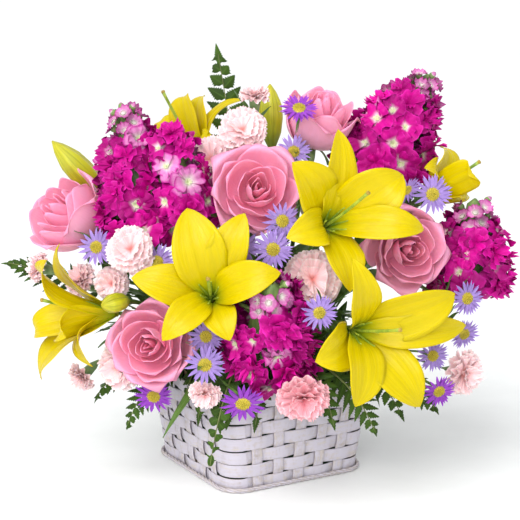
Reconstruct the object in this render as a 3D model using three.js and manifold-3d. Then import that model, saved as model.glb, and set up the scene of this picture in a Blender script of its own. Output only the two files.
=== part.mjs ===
// Flower basket: a square woven basket with an arched handle, filled with lilies, roses, stock,
// small carnations, asters and fern. Millimetres, +Z up. The origin is the middle of the basket's
// underside, with the basket's sides along X and Y and the handle's arch along X.
import * as THREE from 'three';
import { mergeVertices } from 'three/addons/utils/BufferGeometryUtils.js';
import Module from 'manifold-3d';

const wasm = await Module();
wasm.setup();

// Basket
const BASKET_HEIGHT = 90;
const FOOT_HALF = 68;
const RIM_HALF = 78;
const CORNER_RADIUS = 17;
const ROWS = 7;
const STAKES_PER_SIDE = 5;
const STAKE_WIDTH = 10;
const STRIP_OUT = 2.2;
const STAKE_OUT = 0.6;
const WALL = 2.2;
const FLOOR = 3;
const RIM_HEIGHT = 8;
const RIM_THICK = 1.8;
const FOOT_HEIGHT = 4.5;
const FOOT_THICK = 2.6;
const GAP = 0.3;

// Handle
const HANDLE_WIDTH = 10.5;
const HANDLE_THICK = 2.5;
const HANDLE_TOP = 273;
const HANDLE_FOOT = 9;

// Liner and foam
const LINER_WALL = 0.9;
const LINER_TOP = 84;
const LINER_CLEAR = 1;
const FOAM_HALF = 55;
const FOAM_CORNER_CUT = 24;
const FOAM_TOP = 105;
const ROOT_DEPTH = 34;
const ROOT_SPREAD = 50;
const ROOT_SPACING = 9.5;
const ROOT_MARGIN = 6;
const ROOT_CORNER_MARGIN = 8;
const BOUQUET_REACH = 215;
const HOLE_CLEAR = 0.4;
const HOLE_RISE = 12;

// Stems: radius of each kind
const LILY_STEM = 2.8;
const ROSE_STEM = 2.5;
const STOCK_STEM = 2.8;
const BUD_STALK = 1.9;
const BUD_STEM_THICK = 2.2;
const SPRAY_STEM = 1.5;
const SPRAY_BRANCH = 1.1;
const FERN_STEM = 1.3;
const STEM_TOP_SHARE = 0.93;

// The bouquet faces a viewer who stands off the basket's corner, a little above it. A flower's place
// is given as it appears to that viewer, in points of a 520 point square picture, with its distance
// in front of the basket's middle as the third number.
const BOUQUET_TURN = THREE.MathUtils.degToRad(-30);
const VIEW_PITCH = THREE.MathUtils.degToRad(12.5);
const VIEW_DISTANCE = 1530;
const VIEW_CENTRE = 260;
const VIEW_FOCAL = VIEW_CENTRE / Math.tan(THREE.MathUtils.degToRad(9));
const ORIGIN_SEEN = [259, 459];

const UP = new THREE.Vector3(0, 0, 1);
const VIEW_AHEAD = new THREE.Vector3(0, Math.cos(VIEW_PITCH), -Math.sin(VIEW_PITCH));
const VIEW_UP = new THREE.Vector3(0, Math.sin(VIEW_PITCH), Math.cos(VIEW_PITCH));
const VIEW_RIGHT = new THREE.Vector3(1, 0, 0);

const sightLine = ([px, py]) => VIEW_AHEAD.clone()
  .addScaledVector(VIEW_RIGHT, (px - VIEW_CENTRE) / VIEW_FOCAL)
  .addScaledVector(VIEW_UP, (VIEW_CENTRE - py) / VIEW_FOCAL);
const EYE = sightLine(ORIGIN_SEEN).multiplyScalar(-VIEW_DISTANCE);

function spot([px, py, near]) {
  const ray = sightLine([px, py]);
  return EYE.clone().addScaledVector(ray, (-near - EYE.y) / ray.y);
}

// A direction as the viewer names it: to the right, up, and towards the viewer
const facing = ([right, up, towards]) => new THREE.Vector3(right, -towards, up).normalize();

const degrees = THREE.MathUtils.degToRad;
const lerp = THREE.MathUtils.lerp;

// Solids

function meshGeometry(points, triangles) {
  const geometry = new THREE.BufferGeometry();
  const coordinates = points.flatMap(({ x, y, z }) => [x, y, z]);
  geometry.setAttribute('position', new THREE.Float32BufferAttribute(coordinates, 3));
  geometry.setIndex(triangles.filter(([a, b, c]) => a !== b && b !== c && c !== a).flat());
  return geometry;
}

function toSolid(source) {
  const geometry = source.clone();
  geometry.deleteAttribute('normal');
  geometry.deleteAttribute('uv');
  const merged = mergeVertices(geometry, 1e-4);
  const vertProperties = new Float32Array(merged.attributes.position.array);
  const triVerts = new Uint32Array(merged.index.array);
  return new wasm.Manifold(new wasm.Mesh({ numProp: 3, vertProperties, triVerts }));
}

function toGeometry(solid) {
  const { vertProperties, triVerts } = solid.getMesh();
  const geometry = new THREE.BufferGeometry();
  geometry.setAttribute('position', new THREE.BufferAttribute(new Float32Array(vertProperties), 3));
  geometry.setIndex(new THREE.BufferAttribute(new Uint32Array(triVerts), 1));
  return geometry;
}

const FUSE_TOLERANCE = 0.05;

// Joins the pieces of one plant part and keeps its main body, with any sealed pocket filled
function fuse(geometries) {
  const joined = geometries.map(toSolid).reduce((sum, piece) => sum.add(piece));
  const bodies = joined.decompose().sort((a, b) => b.volume() - a.volume());
  return toGeometry(bodies[0].simplify(FUSE_TOLERANCE));
}

// A rod through points, with a radius at each and a flat cap at both ends
function rod(points, radii, sides) {
  const across = new THREE.Vector3();
  const vertices = [];
  const triangles = [];
  const firstAlong = points[1].clone().sub(points[0]).normalize();
  across.crossVectors(firstAlong, Math.abs(firstAlong.x) > 0.9 ? UP : VIEW_RIGHT).normalize();
  points.forEach((point, i) => {
    const before = points[Math.max(i - 1, 0)];
    const after = points[Math.min(i + 1, points.length - 1)];
    const along = after.clone().sub(before).normalize();
    across.addScaledVector(along, -across.dot(along)).normalize();
    const other = along.clone().cross(across);
    const radius = Array.isArray(radii) ? radii[i] : radii;
    for (let k = 0; k < sides; k += 1) {
      const angle = (2 * Math.PI * k) / sides;
      vertices.push(point.clone()
        .addScaledVector(across, radius * Math.cos(angle))
        .addScaledVector(other, radius * Math.sin(angle)));
    }
  });
  for (let i = 0; i + 1 < points.length; i += 1) {
    for (let k = 0; k < sides; k += 1) {
      const a = i * sides + k;
      const b = i * sides + ((k + 1) % sides);
      triangles.push([a, b, b + sides], [a, b + sides, a + sides]);
    }
  }
  const last = (points.length - 1) * sides;
  for (let k = 1; k + 1 < sides; k += 1) {
    triangles.push([0, k + 1, k], [last, last + k, last + k + 1]);
  }
  return meshGeometry(vertices, triangles);
}

// A thin blade over surface(u, v), u along it from 0 to 1 and v across it from -1 to 1. Its two
// faces meet in a sharp edge all round and are split into triangles alike.
function blade(surface, rows, columns, thick) {
  const step = 0.02;
  const top = [];
  const bottom = [];
  for (let i = 0; i <= rows; i += 1) {
    for (let j = 0; j <= columns; j += 1) {
      const u = i / rows;
      const v = (2 * j) / columns - 1;
      const point = surface(u, v);
      const inside = i > 0 && i < rows && j > 0 && j < columns;
      const along = surface(Math.min(u + step, 1), v).sub(surface(Math.max(u - step, 0), v));
      const across = surface(u, v + step).sub(surface(u, v - step));
      const lift = along.cross(across).normalize().multiplyScalar(inside ? thick / 2 : 0);
      top.push(point.clone().sub(lift));
      bottom.push(point.clone().add(lift));
    }
  }
  const wide = columns + 1;
  const count = top.length;
  const triangles = [];
  for (let i = 0; i < rows; i += 1) {
    for (let j = 0; j < columns; j += 1) {
      const a = i * wide + j;
      const [b, c, d] = [a + 1, a + wide, a + wide + 1];
      const outward = (j < columns / 2) === (i < rows - 1);
      const split = outward ? [[a, d, b], [a, c, d]] : [[a, c, b], [b, c, d]];
      split.forEach(([p, q, r]) => {
        triangles.push([p, r, q], [p + count, q + count, r + count]);
      });
    }
  }
  const merged = mergeVertices(meshGeometry([...top, ...bottom], triangles), 1e-3);
  const index = merged.index.array;
  const kept = [];
  for (let i = 0; i < index.length; i += 3) {
    const [a, b, c] = [index[i], index[i + 1], index[i + 2]];
    if (a !== b && b !== c && c !== a) {
      kept.push(a, b, c);
    }
  }
  merged.setIndex(kept);
  return merged;
}

// A thin dish from an outline round +Z: both faces fan out from the middle
function dish(outline, top, bottom) {
  const points = [new THREE.Vector3(0, 0, top), new THREE.Vector3(0, 0, bottom), ...outline];
  const triangles = [];
  outline.forEach((_, k) => {
    const a = k + 2;
    const b = ((k + 1) % outline.length) + 2;
    triangles.push([0, a, b], [1, b, a]);
  });
  return meshGeometry(points, triangles);
}

function polar(radius, angle, z) {
  return new THREE.Vector3(radius * Math.cos(angle), radius * Math.sin(angle), z);
}

// Stands a shape made round +Z at a place, with +Z turned to an axis and spun about it
function stand(geometry, place, axis, spin = 0) {
  const turn = new THREE.Quaternion().setFromUnitVectors(UP, axis)
    .multiply(new THREE.Quaternion().setFromAxisAngle(UP, spin));
  return geometry.clone().applyQuaternion(turn).translate(place.x, place.y, place.z);
}

// A repeatable draw between -1 and 1
function drawer(seed) {
  let state = seed;
  return () => {
    state = (state * 16807) % 2147483647;
    return (2 * state) / 2147483647 - 1;
  };
}

const part = new THREE.Group();
const bouquet = new THREE.Group();
bouquet.rotation.z = BOUQUET_TURN;
part.add(bouquet);

const FINISHES = {
  basket: { color: 0xcdc8d0, roughness: 0.7, metalness: 0 },
  cane: { color: 0xc9b8bb, roughness: 0.75, metalness: 0 },
  bentwood: { color: 0x96704a, roughness: 0.6, metalness: 0 },
  liner: { color: 0x2f4a35, roughness: 0.35, metalness: 0 },
  foam: { color: 0x2f5a30, roughness: 0.95, metalness: 0 },
  lily: { color: 0xf0dc0a, roughness: 0.5, metalness: 0 },
  rose: { color: 0xee82a2, roughness: 0.55, metalness: 0 },
  stock: { color: 0xbe0a84, roughness: 0.6, metalness: 0 },
  carnation: { color: 0xf6c8cf, roughness: 0.6, metalness: 0 },
  aster: { color: 0x9c80d4, roughness: 0.6, metalness: 0 },
  stem: { color: 0x4f7a22, roughness: 0.55, metalness: 0 },
  bud: { color: 0xb4bf2a, roughness: 0.5, metalness: 0 },
  fern: { color: 0x2f5512, roughness: 0.5, metalness: 0 },
};

function add(group, name, geometry, finish) {
  const mesh = new THREE.Mesh(geometry, new THREE.MeshStandardMaterial(FINISHES[finish]));
  mesh.name = name;
  group.add(mesh);
}

// Basket

const wallHalf = (z) => lerp(FOOT_HALF, RIM_HALF, z / BASKET_HEIGHT);

const CORNER_ANGLES = [22, 68];
const PLAIN_ANGLES = [0, 30, 60, 90];
const SIDES = [0, 1, 2, 3];

// A square with round corners: `columns` are [side, place along it] or [corner, angle round it]
function ringColumns() {
  const columns = [];
  const pitch = (2 * (FOOT_HALF - CORNER_RADIUS)) / STAKES_PER_SIDE;
  SIDES.forEach((side) => {
    for (let k = 0; k < STAKES_PER_SIDE; k += 1) {
      const middle = (k - (STAKES_PER_SIDE - 1) / 2) * pitch;
      const stake = side * STAKES_PER_SIDE + k;
      columns.push({ side, along: middle - STAKE_WIDTH / 2, stake });
      columns.push({ side, along: middle + STAKE_WIDTH / 2, stake });
    }
    CORNER_ANGLES.forEach((angle) => columns.push({ side, angle: degrees(angle) }));
  });
  return columns;
}

function ringPoint(column, half, z, out = 0) {
  const corner = half - CORNER_RADIUS;
  const local = column.angle === undefined
    ? new THREE.Vector3(column.along * (corner / (FOOT_HALF - CORNER_RADIUS)), -half - out, z)
    : new THREE.Vector3(
      corner + (CORNER_RADIUS + out) * Math.sin(column.angle),
      -corner - (CORNER_RADIUS + out) * Math.cos(column.angle),
      z,
    );
  return local.applyAxisAngle(UP, (column.side * Math.PI) / 2);
}

// A closed stack of rings, its ends closed to a middle point that is level with them or as given
function stack(rings, lowest = rings[0][0].z, highest = rings.at(-1)[0].z) {
  const count = rings[0].length;
  const points = rings.flat();
  const triangles = [];
  for (let i = 0; i + 1 < rings.length; i += 1) {
    for (let k = 0; k < count; k += 1) {
      const a = i * count + k;
      const b = i * count + ((k + 1) % count);
      triangles.push([a, b, b + count], [a, b + count, a + count]);
    }
  }
  const foot = points.length;
  const head = foot + 1;
  points.push(new THREE.Vector3(0, 0, lowest), new THREE.Vector3(0, 0, highest));
  const last = (rings.length - 1) * count;
  for (let k = 0; k < count; k += 1) {
    triangles.push([foot, (k + 1) % count, k], [head, last + k, last + ((k + 1) % count)]);
  }
  return meshGeometry(points, triangles);
}

const COLUMNS = ringColumns();
const PLAIN_COLUMNS = SIDES.flatMap((side) => (
  PLAIN_ANGLES.map((angle) => ({ side, angle: degrees(angle) }))));
const ROW_GROOVE = 0.5;
const CUT_PAST = 5;

// Each strip runs over one stake and behind the next, and the row above it does the opposite
function wovenRings() {
  const rings = [];
  for (let row = 0; row < ROWS; row += 1) {
    const low = (row * BASKET_HEIGHT) / ROWS + (row ? ROW_GROOVE : 0);
    const high = ((row + 1) * BASKET_HEIGHT) / ROWS - (row < ROWS - 1 ? ROW_GROOVE : 0);
    [low, high].forEach((z) => {
      rings.push(COLUMNS.map((column) => {
        const over = column.stake === undefined ? 0.5 : (column.stake + row) % 2;
        return ringPoint(column, wallHalf(z), z, lerp(STAKE_OUT, STRIP_OUT, over));
      }));
    });
  }
  return rings;
}

function plainRings(halves, heights) {
  return heights.map((z, i) => PLAIN_COLUMNS.map((column) => ringPoint(column, halves[i], z)));
}

function basketWeave() {
  const outside = toSolid(stack(wovenRings()));
  const above = BASKET_HEIGHT + CUT_PAST;
  const hollow = plainRings([wallHalf(FLOOR) - WALL, wallHalf(above) - WALL], [FLOOR, above]);
  return toGeometry(outside.subtract(toSolid(stack(hollow))));
}

// A band round the basket, from one height to another, `inner` and `outer` from its wall
function band(low, high, inner, outer) {
  const ring = (z, out) => PLAIN_COLUMNS.map((column) => ringPoint(column, wallHalf(z), z, out));
  const solid = toSolid(stack([ring(low, outer), ring(high, outer)]))
    .subtract(toSolid(stack([ring(low - 1, inner), ring(high + 1, inner)])));
  return toGeometry(solid);
}

const BAND_CLEAR = STRIP_OUT + GAP;

add(part, 'basket_weave', basketWeave(), 'basket');
const RIM_TOP = BASKET_HEIGHT + 1;
const rim = band(RIM_TOP - 1 - RIM_HEIGHT, RIM_TOP, BAND_CLEAR, BAND_CLEAR + RIM_THICK);
add(part, 'basket_rim', rim, 'basket');
add(part, 'basket_foot', band(0, FOOT_HEIGHT, BAND_CLEAR, BAND_CLEAR + FOOT_THICK), 'cane');

// The handle: a flat strip bent into an arch, its legs against the basket's inner wall
const legAt = (z) => wallHalf(z) - WALL - GAP - HANDLE_THICK / 2;
const HANDLE_RISE = HANDLE_TOP - HANDLE_THICK / 2 - BASKET_HEIGHT;
const HANDLE_STEPS = 12;
const HANDLE_ARCH = Array.from({ length: HANDLE_STEPS + 1 }, (_, i) => {
  const angle = (Math.PI * i) / HANDLE_STEPS;
  return [legAt(BASKET_HEIGHT) * Math.cos(angle), BASKET_HEIGHT + HANDLE_RISE * Math.sin(angle)];
});

function handle() {
  const line = [[legAt(HANDLE_FOOT), HANDLE_FOOT], ...HANDLE_ARCH, [-legAt(HANDLE_FOOT), HANDLE_FOOT]];
  const edge = (side) => line.map(([x, z], i) => {
    const before = line[Math.max(i - 1, 0)];
    const after = line[Math.min(i + 1, line.length - 1)];
    const away = new THREE.Vector2(after[1] - before[1], before[0] - after[0]).normalize();
    return new THREE.Vector2(x + (side * away.x * HANDLE_THICK) / 2, z + (side * away.y * HANDLE_THICK) / 2);
  });
  const shape = new THREE.Shape([...edge(1), ...edge(-1).reverse()]);
  const geometry = new THREE.ExtrudeGeometry(shape, { depth: HANDLE_WIDTH, bevelEnabled: false });
  return geometry.rotateX(Math.PI / 2).translate(0, HANDLE_WIDTH / 2, 0);
}

add(part, 'handle', handle(), 'bentwood');

// The liner: a thin tub that stands on the basket's floor between the handle's legs
const linerHalf = (z) => wallHalf(z) - WALL - HANDLE_THICK - 2 * GAP - LINER_CLEAR;

function liner() {
  const low = FLOOR + GAP;
  const outside = plainRings([linerHalf(low), linerHalf(LINER_TOP)], [low, LINER_TOP]);
  const floor = low + LINER_WALL;
  const above = LINER_TOP + CUT_PAST;
  const inside = plainRings([linerHalf(floor) - LINER_WALL, linerHalf(above) - LINER_WALL], [floor, above]);
  return toGeometry(toSolid(stack(outside)).subtract(toSolid(stack(inside))));
}

add(part, 'liner', liner(), 'liner');

// Stems and their holes in the foam

const roots = [];

// The place on the foam where a stem goes in: below the middle of its flowers, drawn in towards
// the basket's middle. Both are in the bouquet's own frame.
function plant(name, flower, radius, [right, towards] = [0, 0]) {
  const scale = ROOT_SPREAD / BOUQUET_REACH;
  roots.push({ name, radius, x: flower.x * scale + right, y: flower.y * scale - towards });
}

const SPREAD_ROUNDS = 400;

// Stems are set apart until none stands nearer to the next than the spacing, and all stay on the foam
function spreadRoots() {
  const limit = FOAM_HALF - ROOT_MARGIN;
  const diagonal = 2 * FOAM_HALF - FOAM_CORNER_CUT - ROOT_CORNER_MARGIN;
  for (let round = 0; round < SPREAD_ROUNDS; round += 1) {
    roots.forEach((a, i) => {
      roots.slice(i + 1).forEach((b) => {
        const apart = new THREE.Vector2(a.x - b.x, a.y - b.y);
        const distance = Math.max(apart.length(), 0.01);
        const push = (ROOT_SPACING - distance) / 2;
        if (push > 0) {
          apart.multiplyScalar(push / distance);
          a.x += apart.x;
          a.y += apart.y;
          b.x -= apart.x;
          b.y -= apart.y;
        }
      });
      const inBasket = new THREE.Vector3(a.x, a.y, 0).applyAxisAngle(UP, BOUQUET_TURN);
      inBasket.clamp(new THREE.Vector3(-limit, -limit, 0), new THREE.Vector3(limit, limit, 0));
      const beyond = Math.abs(inBasket.x) + Math.abs(inBasket.y) - diagonal;
      if (beyond > 0) {
        inBasket.x -= (Math.sign(inBasket.x) * beyond) / 2;
        inBasket.y -= (Math.sign(inBasket.y) * beyond) / 2;
      }
      inBasket.applyAxisAngle(UP, -BOUQUET_TURN);
      a.x = inBasket.x;
      a.y = inBasket.y;
    });
  }
}

// All stems point away from a place on the basket's axis, this far under the foam's top
const ROOT_AIM_DEPTH = 130;
const ROOT_AIM = new THREE.Vector3(0, 0, FOAM_TOP - ROOT_AIM_DEPTH);

function rootLine(name) {
  const root = roots.find((entry) => entry.name === name);
  const mouth = new THREE.Vector3(root.x, root.y, FOAM_TOP);
  const out = mouth.clone().sub(ROOT_AIM).normalize();
  const deep = mouth.clone().addScaledVector(out, -ROOT_DEPTH);
  return { mouth, out, deep, radius: root.radius };
}

// Every stem is a chain of points: from the bottom of its hole, straight out of the foam and in a
// curve to a short straight neck, which runs along `axis` to its end
const STEM_STEPS = 4;
const STEM_NECK = 5;
const STEM_CLEAR = 1.3;
const FREE_LENGTH = 2;
const STEM_SLACK = 0.4;
const chains = new Map();
const solids = [];

function layStem(name, owner, end, axis, radius) {
  const { mouth, out, deep } = rootLine(name);
  const start = mouth.clone().addScaledVector(out, FREE_LENGTH);
  const neck = end.clone().addScaledVector(axis, -STEM_NECK);
  const reach = start.distanceTo(neck);
  const curve = new THREE.CubicBezierCurve3(
    start,
    start.clone().addScaledVector(out, reach * STEM_SLACK),
    neck.clone().addScaledVector(axis, -reach * STEM_SLACK),
    neck,
  );
  const points = [deep, ...curve.getPoints(STEM_STEPS), end];
  const free = points.map((_, i) => i > 1 && i < points.length - 2);
  chains.set(name, { owner, radius, points, free });
}

// A round body that stems keep clear of: a chain of points that stay where they are
function block(owner, radius, ...points) {
  solids.push({ owner, radius, points, free: points.map(() => false) });
}

const BRANCH_SLACK = 0.35;

// A branch that leaves a stem at its upper part and runs along `axis` to its end
function branchLine(stem, end, axis) {
  const fork = stem[3];
  const reach = fork.distanceTo(end) * BRANCH_SLACK;
  const along = stem[4].clone().sub(stem[2]).normalize();
  const curve = new THREE.CubicBezierCurve3(
    fork,
    fork.clone().addScaledVector(along, reach),
    end.clone().addScaledVector(axis, -reach),
    end,
  );
  return [fork, curve.getPoint(0.35), curve.getPoint(0.7), end];
}

// Moves the free points of two chains until they are clear of each other
function partPair(a, b) {
  const [nearA, nearB, push] = [new THREE.Vector3(), new THREE.Vector3(), new THREE.Vector3()];
  for (let i = 0; i + 1 < a.points.length; i += 1) {
    for (let j = 0; j + 1 < b.points.length; j += 1) {
      const first = new THREE.Line3(a.points[i], a.points[i + 1]);
      const second = new THREE.Line3(b.points[j], b.points[j + 1]);
      const distance = Math.sqrt(first.distanceSqToLine3(second, nearA, nearB));
      const short = a.radius + b.radius + STEM_CLEAR - distance;
      if (short > 0 && distance > 1e-6) {
        const share = b.free.includes(true) ? 0.5 : 1;
        push.subVectors(nearA, nearB).multiplyScalar((share * short) / distance);
        [[a, i, nearA, first, 1], [b, j, nearB, second, -1]].forEach(([chain, k, near, line, way]) => {
          const t = line.closestPointToPointParameter(near, true);
          if (chain.free[k]) {
            chain.points[k].addScaledVector(push, way * (1 - t));
          }
          if (chain.free[k + 1]) {
            chain.points[k + 1].addScaledVector(push, way * t);
          }
        });
      }
    }
  }
}

const PART_ROUNDS = 120;
const STEM_EASE = 0.15;

// Parts all stems, and draws each one smooth in the first two thirds of the rounds
function partStems() {
  const stems = [...chains.values()];
  for (let round = 0; round < PART_ROUNDS; round += 1) {
    stems.forEach((a, i) => {
      [...stems.slice(i + 1), ...solids].forEach((b) => {
        if (a.owner !== b.owner) {
          partPair(a, b);
        }
      });
      const ease = Math.max(0, STEM_EASE * (1 - (1.5 * round) / PART_ROUNDS));
      a.points.forEach((point, k) => {
        if (a.free[k]) {
          point.lerp(a.points[k - 1].clone().lerp(a.points[k + 1], 0.5), ease);
        }
      });
    });
  }
}

function taper(points, thick, thin) {
  return points.map((_, i) => lerp(thick, thin, i / (points.length - 1)));
}

// A leaf blade from its base along an arched midrib to its tip, its edges lifted to a trough
const LEAF_ARCH = 0.12;
const LEAF_TROUGH = 0.25;
const LEAF_THICK = 1.1;

function leaf(base, tip, half) {
  const reach = tip.clone().sub(base);
  const across = reach.clone().cross(UP).normalize();
  const lift = across.clone().cross(reach).normalize();
  const middle = base.clone().lerp(tip, 0.5).addScaledVector(lift, LEAF_ARCH * reach.length());
  const rib = new THREE.QuadraticBezierCurve3(base, middle, tip);
  return blade((t, v) => {
    const width = half * Math.sin(Math.PI * t ** 0.8) ** 0.8 + 0.8 * (1 - t);
    return rib.getPoint(t)
      .addScaledVector(across, v * width)
      .addScaledVector(lift, LEAF_TROUGH * width * v * v);
  }, 3, 2, LEAF_THICK);
}

// Lilies

const LILY_THROAT_DEPTH = 27;
const TEPAL_THICK = 1.3;
const TEPAL_TROUGH = 0.16;
const INNER_RAISED = 6;

// A tepal leaves the hip, rises along the throat and bows out to its tip; inner ones stand higher
function tepal(base, axis, tip, half, curl, raised) {
  const reach = tip.clone().sub(base);
  const advance = reach.dot(axis);
  const radial = reach.clone().addScaledVector(axis, -advance);
  const spread = radial.length();
  radial.normalize();
  const at = (out, along) => base.clone().addScaledVector(radial, out).addScaledVector(axis, along);
  const rib = new THREE.CubicBezierCurve3(
    at(3, 1.8 + raised * 0.6),
    at(11 - raised, LILY_THROAT_DEPTH * 0.8 + raised),
    at(spread * 0.55, advance + curl + raised),
    tip,
  );
  const across = axis.clone().cross(radial);
  const surface = (t, v) => {
    const along = rib.getTangent(t);
    const lift = across.clone().cross(along).negate();
    const width = half * Math.sin(Math.PI * t ** 1.2) ** 0.95 + 1.5 * (1 - t);
    return rib.getPoint(t).addScaledVector(across, v * width)
      .addScaledVector(lift, TEPAL_TROUGH * width * v * v);
  };
  return blade(surface, 4, 2, TEPAL_THICK);
}

function lilyFrame({ throat, axis }) {
  const axisTo = facing(axis);
  const heart = spot(throat);
  return { axis: axisTo, heart, base: heart.clone().addScaledVector(axisTo, -LILY_THROAT_DEPTH) };
}

function lilyBloom(lily) {
  const { axis, heart, base } = lilyFrame(lily);
  const pieces = lily.tips.map(([px, py, near, half, curl = 14], i) => (
    tepal(base, axis, spot([px, py, near]), half, curl, i % 2 ? 0 : INNER_RAISED)));
  const stigma = spot(lily.stigma);
  const style = [
    base,
    base.clone().addScaledVector(axis, 9),
    heart,
    heart.clone().lerp(stigma, 0.6).addScaledVector(axis, 3),
    stigma,
  ];
  pieces.push(rod(style, [4.8, 4.4, 1.3, 1.1, 1.9], 5));
  return fuse(pieces);
}

// Tips: picture place, nearness, half width, and how far the tepal bows out before its tip
const LILIES = [
  {
    name: 'lily_left_front',
    leaves: [{ at: 2, tip: [163, 438, 112], half: 5 }],
    throat: [210, 293, 124],
    axis: [-0.02, 0.42, 0.9],
    stigma: [208, 279, 160],
    tips: [
      [187, 208, 104, 22],
      [245, 213, 112, 17],
      [281, 273, 138, 16],
      [230, 341, 146, 14],
      [162, 341, 148, 14],
      [131, 278, 124, 17],
    ],
  },
  {
    name: 'lily_upper_right',
    throat: [335, 222, 108],
    axis: [0.4, 0.36, 0.84],
    stigma: [368, 193, 152],
    tips: [
      [338, 129, 84, 14],
      [403, 175, 104, 23],
      [424, 230, 112, 14],
      [350, 292, 130, 17],
      [286, 238, 134, 16],
      [292, 162, 122, 21],
    ],
  },
  {
    name: 'lily_lower_right',
    leaves: [{ at: 4, tip: [334, 304, 66], half: 9 }],
    throat: [365, 333, 118],
    axis: [0.45, 0.08, 0.88],
    stigma: [400, 330, 158],
    tips: [
      [352, 258, 138, 14],
      [455, 293, 106, 20],
      [466, 325, 92, 14],
      [420, 407, 122, 20],
      [355, 407, 140, 18],
      [315, 362, 142, 20],
    ],
  },
  {
    name: 'lily_far_left',
    leaves: [{ at: 4, tip: [98, 348, 42], half: 9 }],
    throat: [88, 312, 66],
    axis: [-0.94, 0.12, 0.3],
    stigma: [42, 300, 92],
    tips: [
      [47, 260, 88, 22],
      [60, 243, 56, 15],
      [38, 333, 46, 15],
      [42, 380, 66, 18],
      [93, 367, 86, 14, 24],
      [66, 338, 104, 17, 20],
    ],
  },
  {
    name: 'lily_back',
    leaves: [{ at: 3, tip: [180, 210, -96], half: 9 }],
    throat: [193, 150, -22],
    axis: [-0.5, 0.78, 0.2],
    stigma: [163, 92, -10],
    tips: [
      [188, 97, -44, 14],
      [205, 96, -50, 15],
      [245, 100, -24, 13],
      [162, 132, 6, 13, 20],
      [214, 142, -4, 12],
      [160, 122, -60, 13],
    ],
  },
  {
    name: 'lily_far_right',
    leaves: [{ at: 3, tip: [440, 250, -60], half: 9 }],
    throat: [440, 188, 22],
    axis: [0.72, 0.5, 0.34],
    stigma: [479, 162, 32],
    tips: [
      [440, 147, 6, 17],
      [424, 168, 44, 15, 20],
      [468, 176, 44, 15],
      [462, 203, 30, 14],
      [452, 158, -36, 14],
      [466, 194, -20, 13],
    ],
  },
];

// Buds: a six-ribbed spindle from its base to its tip
function budBody(base, tip, radius) {
  const length = base.distanceTo(tip);
  const axis = tip.clone().sub(base).normalize();
  const profile = [[0, 0.3], [0.25, 0.82], [0.55, 1], [0.82, 0.66], [1, 0.12]];
  const rings = profile.map(([t, wide]) => Array.from({ length: 6 }, (_, k) => (
    polar(radius * wide * (k % 2 ? 1 : 0.86), (Math.PI * k) / 3, t * length))));
  return stand(stack(rings), base, axis);
}

const BUDS = {
  left: { owner: 'lily_bud_left', base: [112, 203, -22], tip: [52, 141, -12], radius: 12.5 },
  top: { owner: 'lily_back', base: [272, 150, -26], tip: [270, 84, -34], radius: 12 },
  low: { owner: 'lily_far_left', base: [130, 300, 78], tip: [101, 306, 98], radius: 9 },
};

// Roses

const HIP_LENGTH = 10;
const ROSE_PETALS = 5;

// Nested cups of petals round a closed heart. Each ring: share of the radius, share of the height,
// how far petal edges stand out beyond the notches between them, and the turn of the ring in degrees.
const ROSE_RINGS = [
  [0.14, 0, 0, 0],
  [0.66, 0.08, 0.04, 0],
  [0.9, 0.34, 0.07, 0],
  [1, 0.62, 0.09, 8],
  [0.72, 0.5, 0, 18],
  [0.76, 0.86, 0.1, 36],
  [0.47, 0.7, 0, 46],
  [0.47, 0.97, 0.12, 62],
  [0.26, 0.84, 0, 72],
  [0.2, 1, 0.2, 90],
];
const ROSE_EDGE = 2.2;
const ROSE_SEATED = 0.55;

function roseBloom(radius, height) {
  const rings = ROSE_RINGS.map(([share, rise, step, turn]) => (
    Array.from({ length: 2 * ROSE_PETALS }, (_, k) => {
      const way = k % 2 ? -1 : 1;
      const out = radius * share * (1 + way * step);
      const level = height * rise + (step ? way * ROSE_EDGE : 0);
      return polar(out, degrees(turn + (180 * k) / ROSE_PETALS), level);
    })));
  rings[0].forEach((point) => point.setZ(0));
  return stack(rings, 0, height * 0.9);
}

const ROSES = [
  {
    name: 'rose_far_left',
    centre: [67, 215, 12],
    face: [-0.62, 0.62, 0.4],
    radius: 37,
    height: 50,
    spin: 20,
  },
  {
    name: 'rose_centre',
    centre: [257, 190, 72],
    face: [0.12, 0.42, 0.88],
    radius: 36,
    height: 44,
    spin: 0,
    leaves: [{ at: 4, tip: [226, 218, 60], half: 8 }],
  },
  {
    name: 'rose_back',
    centre: [320, 118, 16],
    face: [0.25, 0.9, 0.3],
    radius: 30,
    height: 50,
    spin: 40,
    lean: [0, 12],
  },
  {
    name: 'rose_right',
    centre: [408, 250, 66],
    face: [0.2, 0.12, 0.95],
    radius: 32,
    height: 44,
    spin: 10,
    leaves: [
      { at: 4, tip: [432, 294, 40], half: 9 },
      { at: 4, tip: [372, 284, 56], half: 8 },
    ],
  },
  {
    name: 'rose_lower_left',
    centre: [150, 345, 92],
    face: [-0.2, 0.2, 0.95],
    radius: 33,
    height: 44,
    spin: 60,
    lean: [0, 12],
    leaves: [{ at: 4, tip: [108, 322, 62], half: 7 }],
  },
];

// Stock: florets of four lobes all round a spike, small and closed towards its top

const STOCK_NECK = 7;
const STOCK_CORE = 0.55;
const FLORET_SEAT = 0.9;
const FLORET_SIZE = 0.68;
const FLORET_ROOT = 10;
const GOLDEN_ANGLE = 2.39996;

function floret(radius, depth) {
  const outline = [];
  for (let lobe = 0; lobe < 4; lobe += 1) {
    const middle = (lobe * Math.PI) / 2;
    outline.push(polar(radius, middle, lobe % 2 ? 0.15 * radius : -0.15 * radius));
    outline.push(polar(radius * 0.72, middle + Math.PI / 4, -0.1 * radius));
  }
  return dish(outline, -0.3 * radius, -depth);
}

function budCone(long) {
  return dish(SIDES.map((k) => polar(3.4, (Math.PI * k) / 2, long * 0.9)), long * 1.8, -4);
}

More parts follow.
